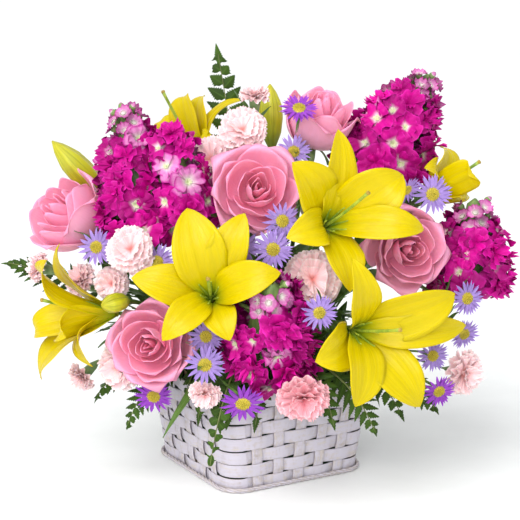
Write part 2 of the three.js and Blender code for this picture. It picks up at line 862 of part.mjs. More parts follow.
// Turns a direction or place given round +Z to the spike's own
const turnTo = (point, axis) => (
  point.applyQuaternion(new THREE.Quaternion().setFromUnitVectors(UP, axis)));

function stockSpike({ foot, tip, low, high, florets, buds }, draw) {
  const start = spot(foot);
  const end = spot(tip);
  const axis = end.clone().sub(start).normalize();
  const length = start.distanceTo(end);
  const radiusAt = (t) => lerp(low, high, t);
  const coreAt = (t) => radiusAt(t) * STOCK_CORE;
  const core = [
    [-STOCK_NECK, 2.6],
    [0, coreAt(0) * 0.7],
    [length * 0.5, coreAt(0.5)],
    [length, coreAt(1)],
  ].map(([z, wide]) => Array.from({ length: 5 }, (_, k) => polar(wide, (2 * Math.PI * k) / 5, z)));
  const pieces = [stand(stack(core), start, axis)];
  for (let i = 0; i < florets + buds; i += 1) {
    const t = ((i + 0.4) / (florets + buds)) ** 1.1;
    const angle = i * GOLDEN_ANGLE + 0.2 * draw();
    const bud = i >= florets;
    const rise = bud ? 0.9 : lerp(-0.25, 0.8, t);
    const heading = turnTo(polar(1, angle, rise).normalize(), axis);
    const seat = coreAt(t) * FLORET_SEAT;
    const place = turnTo(polar(seat, angle, t * length), axis).add(start);
    if (bud) {
      pieces.push(stand(budCone(lerp(9, 5, t)), place, heading, angle));
    } else {
      const size = radiusAt(t) * FLORET_SIZE * (1 + 0.08 * draw());
      const away = radiusAt(t) - seat;
      const shape = floret(size, away + FLORET_ROOT);
      pieces.push(stand(shape, place.addScaledVector(heading, away), heading, angle + draw()));
    }
  }
  return pieces;
}

const STOCKS = [
  {
    name: 'stock_left',
    spikes: [
      { foot: [145, 230, 36], tip: [124, 108, 22], low: 35, high: 15, florets: 13, buds: 4 },
      { foot: [188, 216, 58], tip: [168, 140, 52], low: 25, high: 17, florets: 6, buds: 0 },
    ],
    seed: 11,
    leaves: [{ at: 4, tip: [134, 280, 36], half: 9 }],
  },
  {
    name: 'stock_right',
    spikes: [{ foot: [378, 168, 0], tip: [427, 76, -30], low: 38, high: 14, florets: 13, buds: 4 }],
    seed: 12,
  },
  {
    name: 'stock_far_right',
    spikes: [{ foot: [468, 280, 24], tip: [475, 200, 22], low: 29, high: 17, florets: 11, buds: 4 }],
    seed: 13,
  },
  {
    name: 'stock_front',
    spikes: [{ foot: [264, 350, 92], tip: [272, 285, 142], low: 36, high: 19, florets: 12, buds: 4 }],
    seed: 14,
  },
];

// Small carnations: fringed tiers of petals, one above the other, over a green tube

const FRINGE_POINTS = 10;
const FRINGE_WAVE = 1.2;

// Each ring: share of the radius, height, and how deep the fringe is cut
const CARNATION_RINGS = [
  [1, -1, 0.16],
  [0.55, 1.5, 0],
  [0.8, 6, 0.2],
  [0.4, 9, 0.25],
];

function carnationBloom(radius) {
  const rings = CARNATION_RINGS.map(([share, z, cut], tier) => (
    Array.from({ length: FRINGE_POINTS }, (_, k) => {
      const tooth = (k + tier) % 2;
      const angle = (2 * Math.PI * k) / FRINGE_POINTS;
      const wave = cut ? FRINGE_WAVE : 0;
      return polar(radius * share * (tooth ? 1 : 1 - cut), angle, z + (tooth ? wave : -wave));
    })));
  return stack(rings, -5, 6.5);
}

const CARNATIONS = [
  {
    name: 'carnations_top',
    heads: [
      { at: [212, 160, 30], face: [-0.35, 0.35, 0.87], radius: 23 },
      { at: [243, 131, 34], face: [0, 0.55, 0.84], radius: 23 },
      { at: [255, 97, 24], face: [0.05, 0.85, 0.2], radius: 15 },
    ],
  },
  {
    name: 'carnations_left',
    heads: [
      { at: [131, 250, 86], face: [-0.1, 0.4, 0.9], radius: 22 },
      { at: [82, 281, 30], face: [-0.6, 0.55, 0.5], radius: 17 },
      { at: [112, 284, 54], face: [-0.2, 0.25, 0.94], radius: 17 },
      { at: [40, 268, 0], face: [-0.85, 0.25, 0.3], radius: 15 },
    ],
  },
  {
    name: 'carnations_lower_left',
    lean: [0, -14],
    heads: [
      { at: [121, 366, 58], face: [-0.55, -0.05, 0.83], radius: 23 },
      { at: [83, 376, 36], face: [-0.6, -0.5, 0.5], radius: 15 },
    ],
  },
  {
    name: 'carnation_front_left',
    heads: [{ at: [205, 393, 121], face: [-0.1, -0.45, 0.88], radius: 15 }],
  },
  {
    name: 'carnation_front_right',
    heads: [{ at: [303, 397, 132], face: [0.1, -0.35, 0.93], radius: 24 }],
  },
  {
    name: 'carnation_middle',
    heads: [{ at: [312, 279, 86], face: [0.1, 0.3, 0.95], radius: 27 }],
  },
  {
    name: 'carnation_right',
    heads: [{ at: [463, 373, 60], face: [0.7, 0, 0.7], radius: 22 }],
  },
];

// Asters: narrow rays round a domed disc over a green cup

const RAYS = 7;

function asterHead(radius) {
  const points = [new THREE.Vector3(0, 0, 3.6), new THREE.Vector3(0, 0, -8)];
  const triangles = [];
  const pitch = (2 * Math.PI) / RAYS;
  for (let k = 0; k < RAYS; k += 1) {
    const middle = k * pitch;
    const lift = k % 2 ? 1.4 : 0;
    points.push(
      polar(radius * 0.36, middle, 1.8),
      polar(radius * 0.3, middle, -1),
      polar(radius, middle - 0.28 * pitch, lift),
      polar(radius, middle + 0.28 * pitch, lift),
      polar(radius * 0.5, middle + 0.5 * pitch, 0),
    );
  }
  for (let k = 0; k < RAYS; k += 1) {
    const [disc, cup, left, right, valley] = [2, 3, 4, 5, 6].map((n) => n + 5 * k);
    const [nextDisc, nextCup, nextLeft] = [2, 3, 4].map((n) => n + 5 * ((k + 1) % RAYS));
    triangles.push(
      [0, disc, nextDisc],
      [1, nextCup, cup],
      [disc, left, right],
      [disc, right, valley],
      [disc, valley, nextDisc],
      [nextDisc, valley, nextLeft],
      [cup, right, left],
      [cup, valley, right],
      [cup, nextCup, valley],
      [nextCup, nextLeft, valley],
    );
  }
  return meshGeometry(points, triangles);
}

const ASTERS = [
  {
    name: 'asters_left',
    heads: [
      { at: [97, 247, 58], face: [-0.2, 0.2, 0.95], radius: 17 },
      { at: [157, 262, 84], face: [0, 0.3, 0.95], radius: 17 },
    ],
  },
  {
    name: 'asters_lower_left',
    heads: [
      { at: [206, 336, 120], face: [0, 0.1, 1], radius: 16 },
      { at: [205, 364, 132], face: [0, 0, 1], radius: 18 },
      { at: [154, 395, 78], face: [-0.1, -0.25, 0.96], radius: 18 },
      { at: [243, 402, 140], face: [0, -0.4, 0.9], radius: 20 },
    ],
  },
  {
    name: 'asters_centre',
    heads: [
      { at: [243, 246, 96], face: [-0.1, 0.1, 1], radius: 16 },
      { at: [282, 221, 100], face: [0.1, 0.2, 1], radius: 17 },
      { at: [273, 249, 112], face: [0, 0.1, 1], radius: 18 },
    ],
  },
  {
    name: 'asters_top',
    heads: [
      { at: [294, 152, 46], face: [-0.1, 0.3, 0.94], radius: 16 },
      { at: [299, 110, 56], face: [0, 0.75, 0.6], radius: 17 },
    ],
  },
  {
    name: 'aster_middle',
    heads: [{ at: [319, 312, 138], face: [0.1, 0, 1], radius: 16 }],
  },
  {
    name: 'asters_upper_right',
    heads: [
      { at: [432, 194, 68], face: [0.1, 0.1, 0.98], radius: 18 },
      { at: [409, 192, 52], face: [-0.5, 0.5, 0.4], radius: 14 },
    ],
  },
  {
    name: 'asters_right',
    heads: [
      { at: [466, 298, 72], face: [0.35, 0.1, 0.93], radius: 16 },
      { at: [463, 333, 62], face: [0.35, -0.2, 0.9], radius: 15 },
    ],
  },
  {
    name: 'asters_lower_right',
    heads: [
      { at: [432, 355, 84], face: [0.2, 0, 0.98], radius: 15 },
      { at: [438, 390, 84], face: [0.3, -0.25, 0.9], radius: 16 },
    ],
  },
];

// Ferns: one thin arched blade with its edge cut into toothed leaflets to the rib

const FERNS = [
  {
    name: 'fern_top',
    fronds: [{ tip: [218, 54, -70], bend: [236, 150, -64], half: 24, pairs: 8, normal: [0.1, 0.1, 1] }],
  },
  {
    name: 'fern_left',
    fronds: [{ tip: [8, 263, -16], bend: [70, 272, -30], half: 26, pairs: 9, normal: [0.1, 0.85, 0.5] }],
  },
  {
    name: 'fern_lower_left',
    fronds: [
      { tip: [127, 428, 60], bend: [150, 350, 72], half: 20, pairs: 8, normal: [-0.1, 0.7, 0.7] },
      { tip: [96, 398, 20], bend: [130, 340, 40], half: 20, pairs: 6, normal: [-0.2, 0.8, 0.5] },
    ],
  },
  {
    name: 'fern_over_rim',
    fronds: [{ tip: [210, 466, 120], bend: [229, 345, 130], half: 14, pairs: 8, normal: [0, 0.3, 1] }],
  },
  {
    name: 'fern_lower_right',
    fronds: [
      { tip: [376, 434, 92], bend: [346, 358, 90], half: 22, pairs: 8, normal: [0.1, 0.6, 0.8] },
      { tip: [334, 426, 112], bend: [318, 352, 104], half: 16, pairs: 6, normal: [0, 0.5, 0.9] },
    ],
  },
  {
    name: 'fern_right',
    fronds: [
      { tip: [437, 411, 44], bend: [392, 348, 40], half: 24, pairs: 8, normal: [0, 0.8, 0.6] },
      { tip: [402, 416, 60], bend: [372, 350, 54], half: 18, pairs: 6, normal: [0, 0.7, 0.7] },
    ],
  },
  {
    name: 'fern_back_left',
    fronds: [
      { tip: [120, 200, -130], bend: [200, 230, -90], half: 30, pairs: 5, normal: [-0.2, 0.7, -0.6] },
      { tip: [100, 330, -120], bend: [180, 300, -100], half: 28, pairs: 5, normal: [-0.3, 0.8, -0.4] },
      { tip: [220, 330, -170], bend: [230, 280, -110], half: 28, pairs: 5, normal: [0, 0.7, -0.6] },
    ],
  },
  {
    name: 'fern_back_right',
    fronds: [
      { tip: [380, 200, -130], bend: [300, 230, -90], half: 30, pairs: 5, normal: [0.2, 0.7, -0.6] },
      { tip: [420, 320, -110], bend: [330, 300, -100], half: 28, pairs: 5, normal: [0.3, 0.8, -0.4] },
      { tip: [300, 180, -150], bend: [280, 220, -110], half: 28, pairs: 5, normal: [0, 0.7, -0.6] },
    ],
  },
];

const FERN_RIB = 0.9;
const FERN_FROM = 0.42;

function fernBlade({ curve, half, pairs, normal }, chain) {
  const petiole = chain.slice(0, -1);
  const lift = facing(normal);
  const vertices = [];
  const triangles = [];
  const push = (point) => vertices.push(point) - 1;
  const station = (point, along, radius) => {
    const across = along.clone().cross(lift).normalize();
    const up = across.clone().cross(along).normalize();
    return [
      push(point.clone().addScaledVector(up, radius)),
      push(point.clone().addScaledVector(across, radius)),
      push(point.clone().addScaledVector(up, -radius)),
      push(point.clone().addScaledVector(across, -radius)),
    ];
  };
  const tube = (a, b) => {
    for (let k = 0; k < 4; k += 1) {
      const n = (k + 1) % 4;
      triangles.push([a[k], a[n], b[n]], [a[k], b[n], b[k]]);
    }
  };
  const steps = petiole.length;
  let last = null;
  petiole.forEach((point, i) => {
    const ahead = i + 1 < steps ? petiole[i + 1] : curve.getPoint(FERN_FROM);
    const along = ahead.clone().sub(i ? petiole[i - 1] : point);
    const ring = station(point, along.normalize(), FERN_RIB * 1.3);
    if (last) {
      tube(last, ring);
    } else {
      triangles.push([ring[0], ring[2], ring[1]], [ring[0], ring[3], ring[2]]);
    }
    last = ring;
  });
  for (let i = 0; i <= pairs; i += 1) {
    const t = lerp(FERN_FROM, 1, (i / pairs) ** 0.9);
    const along = curve.getTangent(Math.min(t, 0.999));
    const point = curve.getPoint(t);
    if (i === pairs) {
      const end = push(point);
      for (let k = 0; k < 4; k += 1) {
        triangles.push([last[k], last[(k + 1) % 4], end]);
      }
      break;
    }
    const ring = station(point, along, lerp(FERN_RIB, 0.5, i / pairs));
    if (i === 0) {
      tube(last, ring);
    } else {
      leaflets(last, ring, i);
    }
    last = ring;
  }
  function leaflets(a, b, i) {
    const t = lerp(FERN_FROM, 1, (i / pairs) ** 0.9);
    const along = curve.getTangent(Math.min(t, 0.999));
    const grown = i / pairs;
    const length = half * Math.sin(Math.PI * (0.22 + 0.74 * grown)) ** 0.9;
    const pitch = vertices[b[0]].distanceTo(vertices[a[0]]);
    [1, 3].forEach((k) => {
      const across = vertices[a[k]].clone().sub(vertices[a[(k + 2) % 4]]).normalize();
      const root = vertices[a[k]].clone().lerp(vertices[b[k]], 0.5);
      const reach = (out, ahead, drop) => push(root.clone()
        .addScaledVector(across, length * out)
        .addScaledVector(along, length * out * 0.45 + pitch * ahead)
        .addScaledVector(lift, -length * drop));
      const near = reach(0.45, -0.42, 0.05);
      const tip = reach(1, 0, 0.2);
      [0, 2].forEach((face) => {
        const flip = (face === 0) === (k === 1);
        const fan = [a[face], a[k], near, tip, b[k], b[face]];
        for (let n = 1; n + 1 < fan.length; n += 1) {
          const triangle = [fan[0], fan[n], fan[n + 1]];
          triangles.push(flip ? triangle : triangle.reverse());
        }
      });
    });
  }
  return meshGeometry(vertices, triangles);
}

// Where each plant goes into the foam

const BUD_STEM = 'lily_bud_left';
const STEM_SIDES = 4;

function roseFrame({ centre, face, height }) {
  const axis = facing(face);
  const base = spot(centre).addScaledVector(axis, -height * ROSE_SEATED);
  return { axis, base, neck: base.clone().addScaledVector(axis, -GAP - HIP_LENGTH) };
}

function spikeFrame({ foot, tip }) {
  const start = spot(foot);
  const axis = spot(tip).sub(start).normalize();
  return { start, axis, end: start.clone().addScaledVector(axis, -STOCK_NECK - GAP) };
}

function budFrame({ base, tip }) {
  const [from, to] = [spot(base), spot(tip)];
  const axis = to.clone().sub(from).normalize();
  return { from, to, axis };
}

// What a spray's heads stand on: distances behind the head and the radii there
const CALYX = [[20, 0], [13, 3.8], [3, 4.8]];
const ASTER_CUP = [[6, 0]];
const SPRAY_SIDES = 3;
const SPRAYS = [
  ...CARNATIONS.map((each) => ({ ...each, collar: CALYX, shape: carnationBloom, finish: 'carnation' })),
  ...ASTERS.map((each) => ({ ...each, collar: ASTER_CUP, shape: asterHead, finish: 'aster' })),
];

LILIES.forEach((lily) => plant(`${lily.name}_stem`, lilyFrame(lily).base, LILY_STEM, lily.lean));
plant(BUD_STEM, budFrame(BUDS.left).from, BUD_STEM_THICK);
ROSES.forEach((rose) => plant(`${rose.name}_stem`, roseFrame(rose).base, ROSE_STEM, rose.lean));
STOCKS.forEach(({ name, spikes, lean }) => plant(`${name}_stem`, spot(spikes[0].foot), STOCK_STEM, lean));
SPRAYS.forEach(({ name, heads, lean }) => plant(name, spot(heads[0].at), SPRAY_STEM, lean));
FERNS.forEach(({ name, fronds }) => plant(name, spot(fronds[0].bend), FERN_STEM));
spreadRoots();

// Their stems. A block is a round body that keeps the other stems off, as thick as a share of the
// half width of what it stands for, or as a number of millimetres.

const BLADE_BERTH = 0.6;
const BUD_BERTH = 0.9;
const ROSE_BERTH = 0.75;
const SPIKE_FOOT_BERTH = 1.2;
const SPIKE_TOP_BERTH = 1.04;
const HEAD_BERTH = 0.7;
const COLLAR_BERTH = 5;
const THROAT_BERTH = 10;
const HANDLE_BERTH = 6;
const RIM_BERTH = 7;
const FOAM_BERTH = 3.5;

function blockLeaves({ name, leaves = [] }) {
  const { points } = chains.get(`${name}_stem`);
  leaves.forEach(({ at, tip, half }) => block(name, half * BLADE_BERTH, points[at], spot(tip)));
}

LILIES.forEach((lily) => {
  const { axis, base, heart } = lilyFrame(lily);
  const foot = base.clone().addScaledVector(axis, -GAP);
  layStem(`${lily.name}_stem`, lily.name, foot, axis, LILY_STEM);
  block(lily.name, THROAT_BERTH, base.clone().addScaledVector(axis, 6), heart);
  blockLeaves(lily);
  lily.tips.forEach(([px, py, near, half]) => (
    block(lily.name, half * BLADE_BERTH, heart, spot([px, py, near]))));
});
Object.values(BUDS).forEach((bud) => {
  const { from, to } = budFrame(bud);
  block(bud.owner, bud.radius * BUD_BERTH, from, to);
});
layStem(BUD_STEM, BUD_STEM, budFrame(BUDS.left).from, budFrame(BUDS.left).axis, BUD_STEM_THICK);
ROSES.forEach((rose) => {
  const { axis, base, neck } = roseFrame(rose);
  layStem(`${rose.name}_stem`, rose.name, neck, axis, ROSE_STEM);
  const low = base.clone().addScaledVector(axis, rose.height * 0.4);
  block(rose.name, rose.radius * ROSE_BERTH, low, spot(rose.centre));
  blockLeaves(rose);
});
STOCKS.forEach((stock) => {
  const { axis, end } = spikeFrame(stock.spikes[0]);
  layStem(`${stock.name}_stem`, stock.name, end, axis, STOCK_STEM);
  stock.spikes.forEach(({ foot, tip, low, high }) => {
    const middle = spot(foot).lerp(spot(tip), 0.5);
    block(stock.name, low * SPIKE_FOOT_BERTH, spot(foot), middle);
    block(stock.name, lerp(low, high, 0.5) * SPIKE_TOP_BERTH, middle, spot(tip));
  });
  blockLeaves(stock);
});
SPRAYS.forEach(({ name, heads, collar }) => {
  heads.forEach(({ at, face, radius }, i) => {
    const axis = facing(face);
    const place = spot(at);
    const end = place.clone().addScaledVector(axis, -collar[0][0]);
    if (i) {
      const points = branchLine(chains.get(name).points, end, axis);
      const free = [false, true, true, false];
      chains.set(`${name}_${i}`, { owner: name, radius: SPRAY_BRANCH, points, free });
    } else {
      layStem(name, name, end, axis, SPRAY_STEM);
    }
    block(name, radius * HEAD_BERTH, place, place.clone().addScaledVector(axis, -2));
    block(name, COLLAR_BERTH, place, end);
  });
});
FERNS.forEach(({ name, fronds }) => {
  const { mouth, out, deep } = rootLine(name);
  const start = mouth.clone().addScaledVector(out, FREE_LENGTH);
  fronds.forEach((frond, i) => {
    const curve = new THREE.QuadraticBezierCurve3(start, spot(frond.bend), spot(frond.tip));
    const points = [deep, start, ...[0.15, 0.3, FERN_FROM].map((t) => curve.getPoint(t))];
    const free = [false, false, true, true, false];
    frond.curve = curve;
    chains.set(`${name}_${i}`, { owner: name, radius: FERN_STEM, points, free });
    block(name, frond.half * BLADE_BERTH, ...[0.5, 0.7, 0.9].map((t) => curve.getPoint(t)));
  });
});
HANDLE_ARCH.slice(1).forEach(([x, z], i) => {
  const ends = [HANDLE_ARCH[i], [x, z]].map(([along, up]) => (
    new THREE.Vector3(along, 0, up).applyAxisAngle(UP, -BOUQUET_TURN)));
  block('handle', HANDLE_BERTH, ...ends);
});
[
  [RIM_HALF + 1, CORNER_RADIUS, BASKET_HEIGHT - 3, RIM_BERTH],
  [FOAM_HALF, FOAM_CORNER_CUT, FOAM_TOP - 3, FOAM_BERTH],
].forEach(([half, cut, z, radius]) => {
  const corners = [...SIDES, 4].flatMap((side) => [cut - half, half - cut].map((along) => (
    new THREE.Vector3(along, -half, z).applyAxisAngle(UP, (side * Math.PI) / 2 - BOUQUET_TURN))));
  block('edge', radius, ...corners);
});
partStems();

// The plants

function budFrom(line, bud) {
  const { from, to, axis } = budFrame(bud);
  const stalk = branchLine(line, from.clone().addScaledVector(axis, 3), axis);
  return [rod(stalk, BUD_STALK, STEM_SIDES), budBody(from, to, bud.radius)];
}

// A stem with its leaves; `ends` are points past its end, each with a radius
function leafyStem({ name, leaves = [] }, radii, ends = []) {
  const { points } = chains.get(`${name}_stem`);
  const line = [...points, ...ends.map(([point]) => point)];
  const wide = [...radii(points), ...ends.map(([, radius]) => radius)];
  const blades = leaves.map(({ at, tip, half }) => leaf(points[at], spot(tip), half));
  return [rod(line, wide, STEM_SIDES), ...blades];
}

const tapering = (thick) => (points) => taper(points, thick, thick * STEM_TOP_SHARE);

LILIES.forEach((lily) => {
  add(bouquet, lily.name, lilyBloom(lily), 'lily');
  const { points } = chains.get(`${lily.name}_stem`);
  const pieces = leafyStem(lily, tapering(LILY_STEM));
  Object.values(BUDS).filter((bud) => bud.owner === lily.name).forEach((bud) => {
    pieces.push(...budFrom(points, bud));
  });
  add(bouquet, `${lily.name}_stem`, fuse(pieces), 'stem');
});

function lilyBudOnStem() {
  const { from, to, axis } = budFrame(BUDS.left);
  const line = [...chains.get(BUD_STEM).points, from.clone().addScaledVector(axis, 3)];
  return fuse([rod(line, BUD_STEM_THICK, STEM_SIDES), budBody(from, to, BUDS.left.radius)]);
}

add(bouquet, BUD_STEM, lilyBudOnStem(), 'bud');

ROSES.forEach((rose) => {
  const { axis, base } = roseFrame(rose);
  const bloom = stand(roseBloom(rose.radius, rose.height), base, axis, degrees(rose.spin));
  add(bouquet, rose.name, bloom, 'rose');
  const hipTop = base.clone().addScaledVector(axis, -GAP);
  const hip = [[hipTop.clone().addScaledVector(axis, -HIP_LENGTH / 2), 4.8], [hipTop, 4.4]];
  const stem = leafyStem(rose, (points) => points.map(() => ROSE_STEM), hip);
  add(bouquet, `${rose.name}_stem`, fuse(stem), 'stem');
});

STOCKS.forEach((stock) => {
  const draw = drawer(stock.seed);
  add(bouquet, stock.name, fuse(stock.spikes.flatMap((spike) => stockSpike(spike, draw))), 'stock');
  add(bouquet, `${stock.name}_stem`, fuse(leafyStem(stock, tapering(STOCK_STEM))), 'stem');
});

// A spray: one stem to its first head, and a thinner branch from it to each of the others
function spray({ name, heads, shape, collar }) {
  return fuse(heads.flatMap(({ at, face, radius }, i) => {
    const axis = facing(face);
    const place = spot(at);
    const line = chains.get(i ? `${name}_${i}` : name).points;
    const last = collar.slice(1).map(([behind]) => place.clone().addScaledVector(axis, -behind));
    const thick = i ? SPRAY_BRANCH : SPRAY_STEM;
    const radii = [...line.map(() => thick), ...collar.slice(1).map(([, wide]) => wide)];
    return [rod([...line, ...last], radii, SPRAY_SIDES), stand(shape(radius), place, axis)];
  }));
}

SPRAYS.forEach((each) => add(bouquet, each.name, spray(each), each.finish));

FERNS.forEach(({ name, fronds }) => {
  const blades = fronds.map((frond, i) => fernBlade(frond, chains.get(`${name}_${i}`).points));
  add(bouquet, name, blades.length > 1 ? fuse(blades) : blades[0], 'fern');
});

// The foam block, with one hole for each stem
function foam() {
  const underside = FLOOR + LINER_WALL + 2 * GAP;
  const shape = new THREE.Shape(SIDES.flatMap((side) => [-1, 1].map((end) => (
    new THREE.Vector2(FOAM_HALF, end * (FOAM_HALF - FOAM_CORNER_CUT))
      .rotateAround(new THREE.Vector2(), (side * Math.PI) / 2)))));
  const box = new THREE.ExtrudeGeometry(shape, { depth: FOAM_TOP - underside, bevelEnabled: false });
  box.translate(0, 0, underside);
  return toGeometry(roots.reduce((rest, { name }) => {
    const { deep, out, mouth, radius } = rootLine(name);
    const around = radius + HOLE_CLEAR * Math.SQRT2;
    const low = deep.clone().addScaledVector(out, -HOLE_CLEAR);
    const high = mouth.clone().addScaledVector(out, HOLE_RISE);
    const hole = rod([low, high], around, STEM_SIDES).applyQuaternion(bouquet.quaternion);
    return rest.subtract(toSolid(hole));
  }, toSolid(box)));
}

add(part, 'foam', foam(), 'foam');

export default part;
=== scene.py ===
"""Looks of a flower basket arrangement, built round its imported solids."""
import math
import random

import bmesh
import bpy
import numpy as np
from mathutils import Matrix, Vector


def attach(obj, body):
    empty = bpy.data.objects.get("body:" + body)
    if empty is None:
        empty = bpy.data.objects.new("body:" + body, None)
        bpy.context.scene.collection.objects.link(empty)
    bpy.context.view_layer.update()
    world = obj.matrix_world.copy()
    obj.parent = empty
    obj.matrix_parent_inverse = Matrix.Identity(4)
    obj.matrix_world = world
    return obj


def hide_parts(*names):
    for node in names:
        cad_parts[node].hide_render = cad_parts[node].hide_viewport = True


bl_info = {
    "name": "Flower basket arrangement",
    "version": (1, 0, 0),
    "blender": (4, 5, 0),
    "location": "3D View > Sidebar > Basket",
    "description": "Builds a woven basket of lilies, roses, stock, carnations, asters and fern",
    "category": "Add Mesh",
}

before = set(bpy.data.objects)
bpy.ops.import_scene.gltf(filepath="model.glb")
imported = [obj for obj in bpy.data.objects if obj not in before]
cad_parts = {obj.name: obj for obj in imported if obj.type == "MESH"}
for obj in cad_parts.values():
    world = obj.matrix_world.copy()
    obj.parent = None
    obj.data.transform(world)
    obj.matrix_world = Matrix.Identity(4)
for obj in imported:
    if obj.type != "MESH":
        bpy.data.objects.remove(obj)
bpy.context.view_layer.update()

# Places of the flowers. All sizes are in millimetres. A place is what a viewer off the basket's
# corner sees, in points of a 520 point square picture, with its distance in front of the basket's
# middle as the third number. In the bouquet's frame the viewer looks along +Y, and lengths are in
# millimetres. The row's frame is the basket's own, and lengths are in metres.

MM = 0.001
FULL_TURN = 2 * math.pi
THIRD_TURN, FIFTH_TURN, SIXTH_TURN, TWELFTH_TURN = 2.09, 1.2566, 1.047, 0.5236
GOLDEN_ANGLE = 2.39996
ANY_ANGLE = 6.28
TURN = math.radians(-30)
PITCH = math.radians(12.5)
VIEW_HALF = math.radians(9)
VIEW_DISTANCE = 1530
CENTRE = 260
FOCAL = CENTRE / math.tan(VIEW_HALF)
ORIGIN_SEEN = (259, 459)
UP = np.array((0.0, 0.0, 1.0))
RIGHT = np.array((1.0, 0.0, 0.0))
AHEAD = np.array((0.0, math.cos(PITCH), -math.sin(PITCH)))
RISE = np.array((0.0, math.sin(PITCH), math.cos(PITCH)))


def sight(px, py):
    return AHEAD + RIGHT * ((px - CENTRE) / FOCAL) + RISE * ((CENTRE - py) / FOCAL)


EYE = -VIEW_DISTANCE * sight(*ORIGIN_SEEN)


def spot(place):
    """The point of the bouquet's frame at a place."""
    px, py, near = place[:3]
    ray = sight(px, py)
    return EYE + ray * ((-near - EYE[1]) / ray[1])


def unit(vector):
    vector = np.asarray(vector, float)
    return vector / np.linalg.norm(vector)


def facing(way):
    """A way given as right, up and near, in the bouquet's frame."""
    return unit((way[0], -way[2], way[1]))


def to_row(points):
    """Turns points of the bouquet's frame into the row's."""
    c, s = math.cos(TURN), math.sin(TURN)
    points = np.asarray(points, float)
    x, y, z = points[..., 0], points[..., 1], points[..., 2]
    return np.stack((c * x - s * y, s * x + c * y, z), -1) * MM


def from_row(points):
    """Turns points of the row's frame into the bouquet's."""
    c, s = math.cos(TURN), math.sin(TURN)
    points = np.asarray(points, float) * 1000
    x, y, z = points[..., 0], points[..., 1], points[..., 2]
    return np.stack((c * x + s * y, -s * x + c * y, z), -1)


# Each lily: its throat, the way it faces, its stigma, and its tepals' tips, each with the half
# width of the tepal and, where it isn't TEPAL_CURL, how far it curls. Each leaf: its base, which
# is in millimetres in the bouquet's frame, its tip and its half width.
LILIES = [
    {"name": "lily_left_front", "throat": (210, 293, 124), "axis": (-0.02, 0.42, 0.9),
     "stigma": (208, 279, 160), "tips": ((187, 208, 104, 22), (245, 213, 112, 17),
     (281, 273, 138, 16), (230, 341, 146, 14), (162, 341, 148, 14), (131, 278, 124, 17)),
     "leaves": (((-17.6, -35.7, 125.2), (163, 438, 112), 5),)},
    {"name": "lily_upper_right", "throat": (335, 222, 108), "axis": (0.4, 0.36, 0.84),
     "stigma": (368, 193, 152), "tips": ((338, 129, 84, 14), (403, 175, 104, 23),
     (424, 230, 112, 14), (350, 292, 130, 17), (286, 238, 134, 16), (292, 162, 122, 21))},
    {"name": "lily_lower_right", "throat": (365, 333, 118), "axis": (0.45, 0.08, 0.88),
     "stigma": (400, 330, 158), "tips": ((352, 258, 138, 14), (455, 293, 106, 20),
     (466, 325, 92, 14), (420, 407, 122, 20), (355, 407, 140, 18), (315, 362, 142, 20)),
     "leaves": (((61.5, -72.9, 140.9), (334, 304, 66), 9),)},
    {"name": "lily_far_left", "throat": (88, 312, 66), "axis": (-0.94, 0.12, 0.3),
     "stigma": (42, 300, 92), "tips": ((47, 260, 88, 22), (60, 243, 56, 15), (38, 333, 46, 15),
     (42, 380, 66, 18), (93, 367, 86, 14, 24), (66, 338, 104, 17, 20)),
     "leaves": (((-95.4, -42.7, 144.2), (98, 348, 42), 9),)},
    {"name": "lily_back", "throat": (193, 150, -22), "axis": (-0.5, 0.78, 0.2),
     "stigma": (163, 92, -10), "tips": ((188, 97, -44, 14), (205, 96, -50, 15), (245, 100, -24, 13),
     (162, 132, 6, 13, 20), (214, 142, -4, 12), (160, 122, -60, 13)),
     "leaves": (((-25.1, 18.7, 184.5), (180, 210, -96), 9),)},
    {"name": "lily_far_right", "throat": (440, 188, 22), "axis": (0.72, 0.5, 0.34),
     "stigma": (479, 162, 32), "tips": ((440, 147, 6, 17), (424, 168, 44, 15, 20),
     (468, 176, 44, 15), (462, 203, 30, 14), (452, 158, -36, 14), (466, 194, -20, 13)),
     "leaves": (((82.8, -4.9, 176.5), (440, 250, -60), 9),)},
]

# The lean, here and below, moves a stem's hole in the foam by that much to the right and front.
ROSES = [
    {"name": "rose_far_left", "centre": (67, 215, 12), "face": (-0.62, 0.62, 0.4), "radius": 37,
     "height": 50, "spin": 20},
    {"name": "rose_centre", "centre": (257, 190, 72), "face": (0.12, 0.42, 0.88), "radius": 36,
     "height": 44, "spin": 0, "leaves": (((-6.0, -28.2, 215.8), (226, 218, 60), 8),)},
    {"name": "rose_back", "centre": (320, 118, 16), "face": (0.25, 0.9, 0.3), "radius": 30,
     "height": 50, "spin": 40, "lean": (0, 12)},
    {"name": "rose_right", "centre": (408, 250, 66), "face": (0.2, 0.12, 0.95), "radius": 32,
     "height": 44, "spin": 10, "leaves": (((97.5, -22.2, 185.4), (432, 294, 40), 9),
     ((97.5, -22.2, 185.4), (372, 284, 56), 8))},
    {"name": "rose_lower_left", "centre": (150, 345, 92), "face": (-0.2, 0.2, 0.95), "radius": 33,
     "height": 44, "spin": 60, "lean": (0, 12),
     "leaves": (((-69.2, -48.8, 123.6), (108, 322, 62), 7),)},
]

# Each spike: its foot and tip, its half width at both, and how many buds it ends in
STOCKS = [
    {"name": "stock_left", "spikes": (((145, 230, 36), (124, 108, 22), 35, 15, 16),
     ((188, 216, 58), (168, 140, 52), 25, 17, 0)),
     "leaves": (((-78.9, -30.2, 186.6), (134, 280, 36), 9),)},
    {"name": "stock_right", "spikes": (((378, 168, 0), (427, 76, -30), 38, 14, 16),)},
    {"name": "stock_far_right", "spikes": (((468, 280, 24), (475, 200, 22), 29, 17, 16),)},
    {"name": "stock_front", "spikes": (((264, 350, 92), (272, 285, 142), 36, 19, 16),)},
]

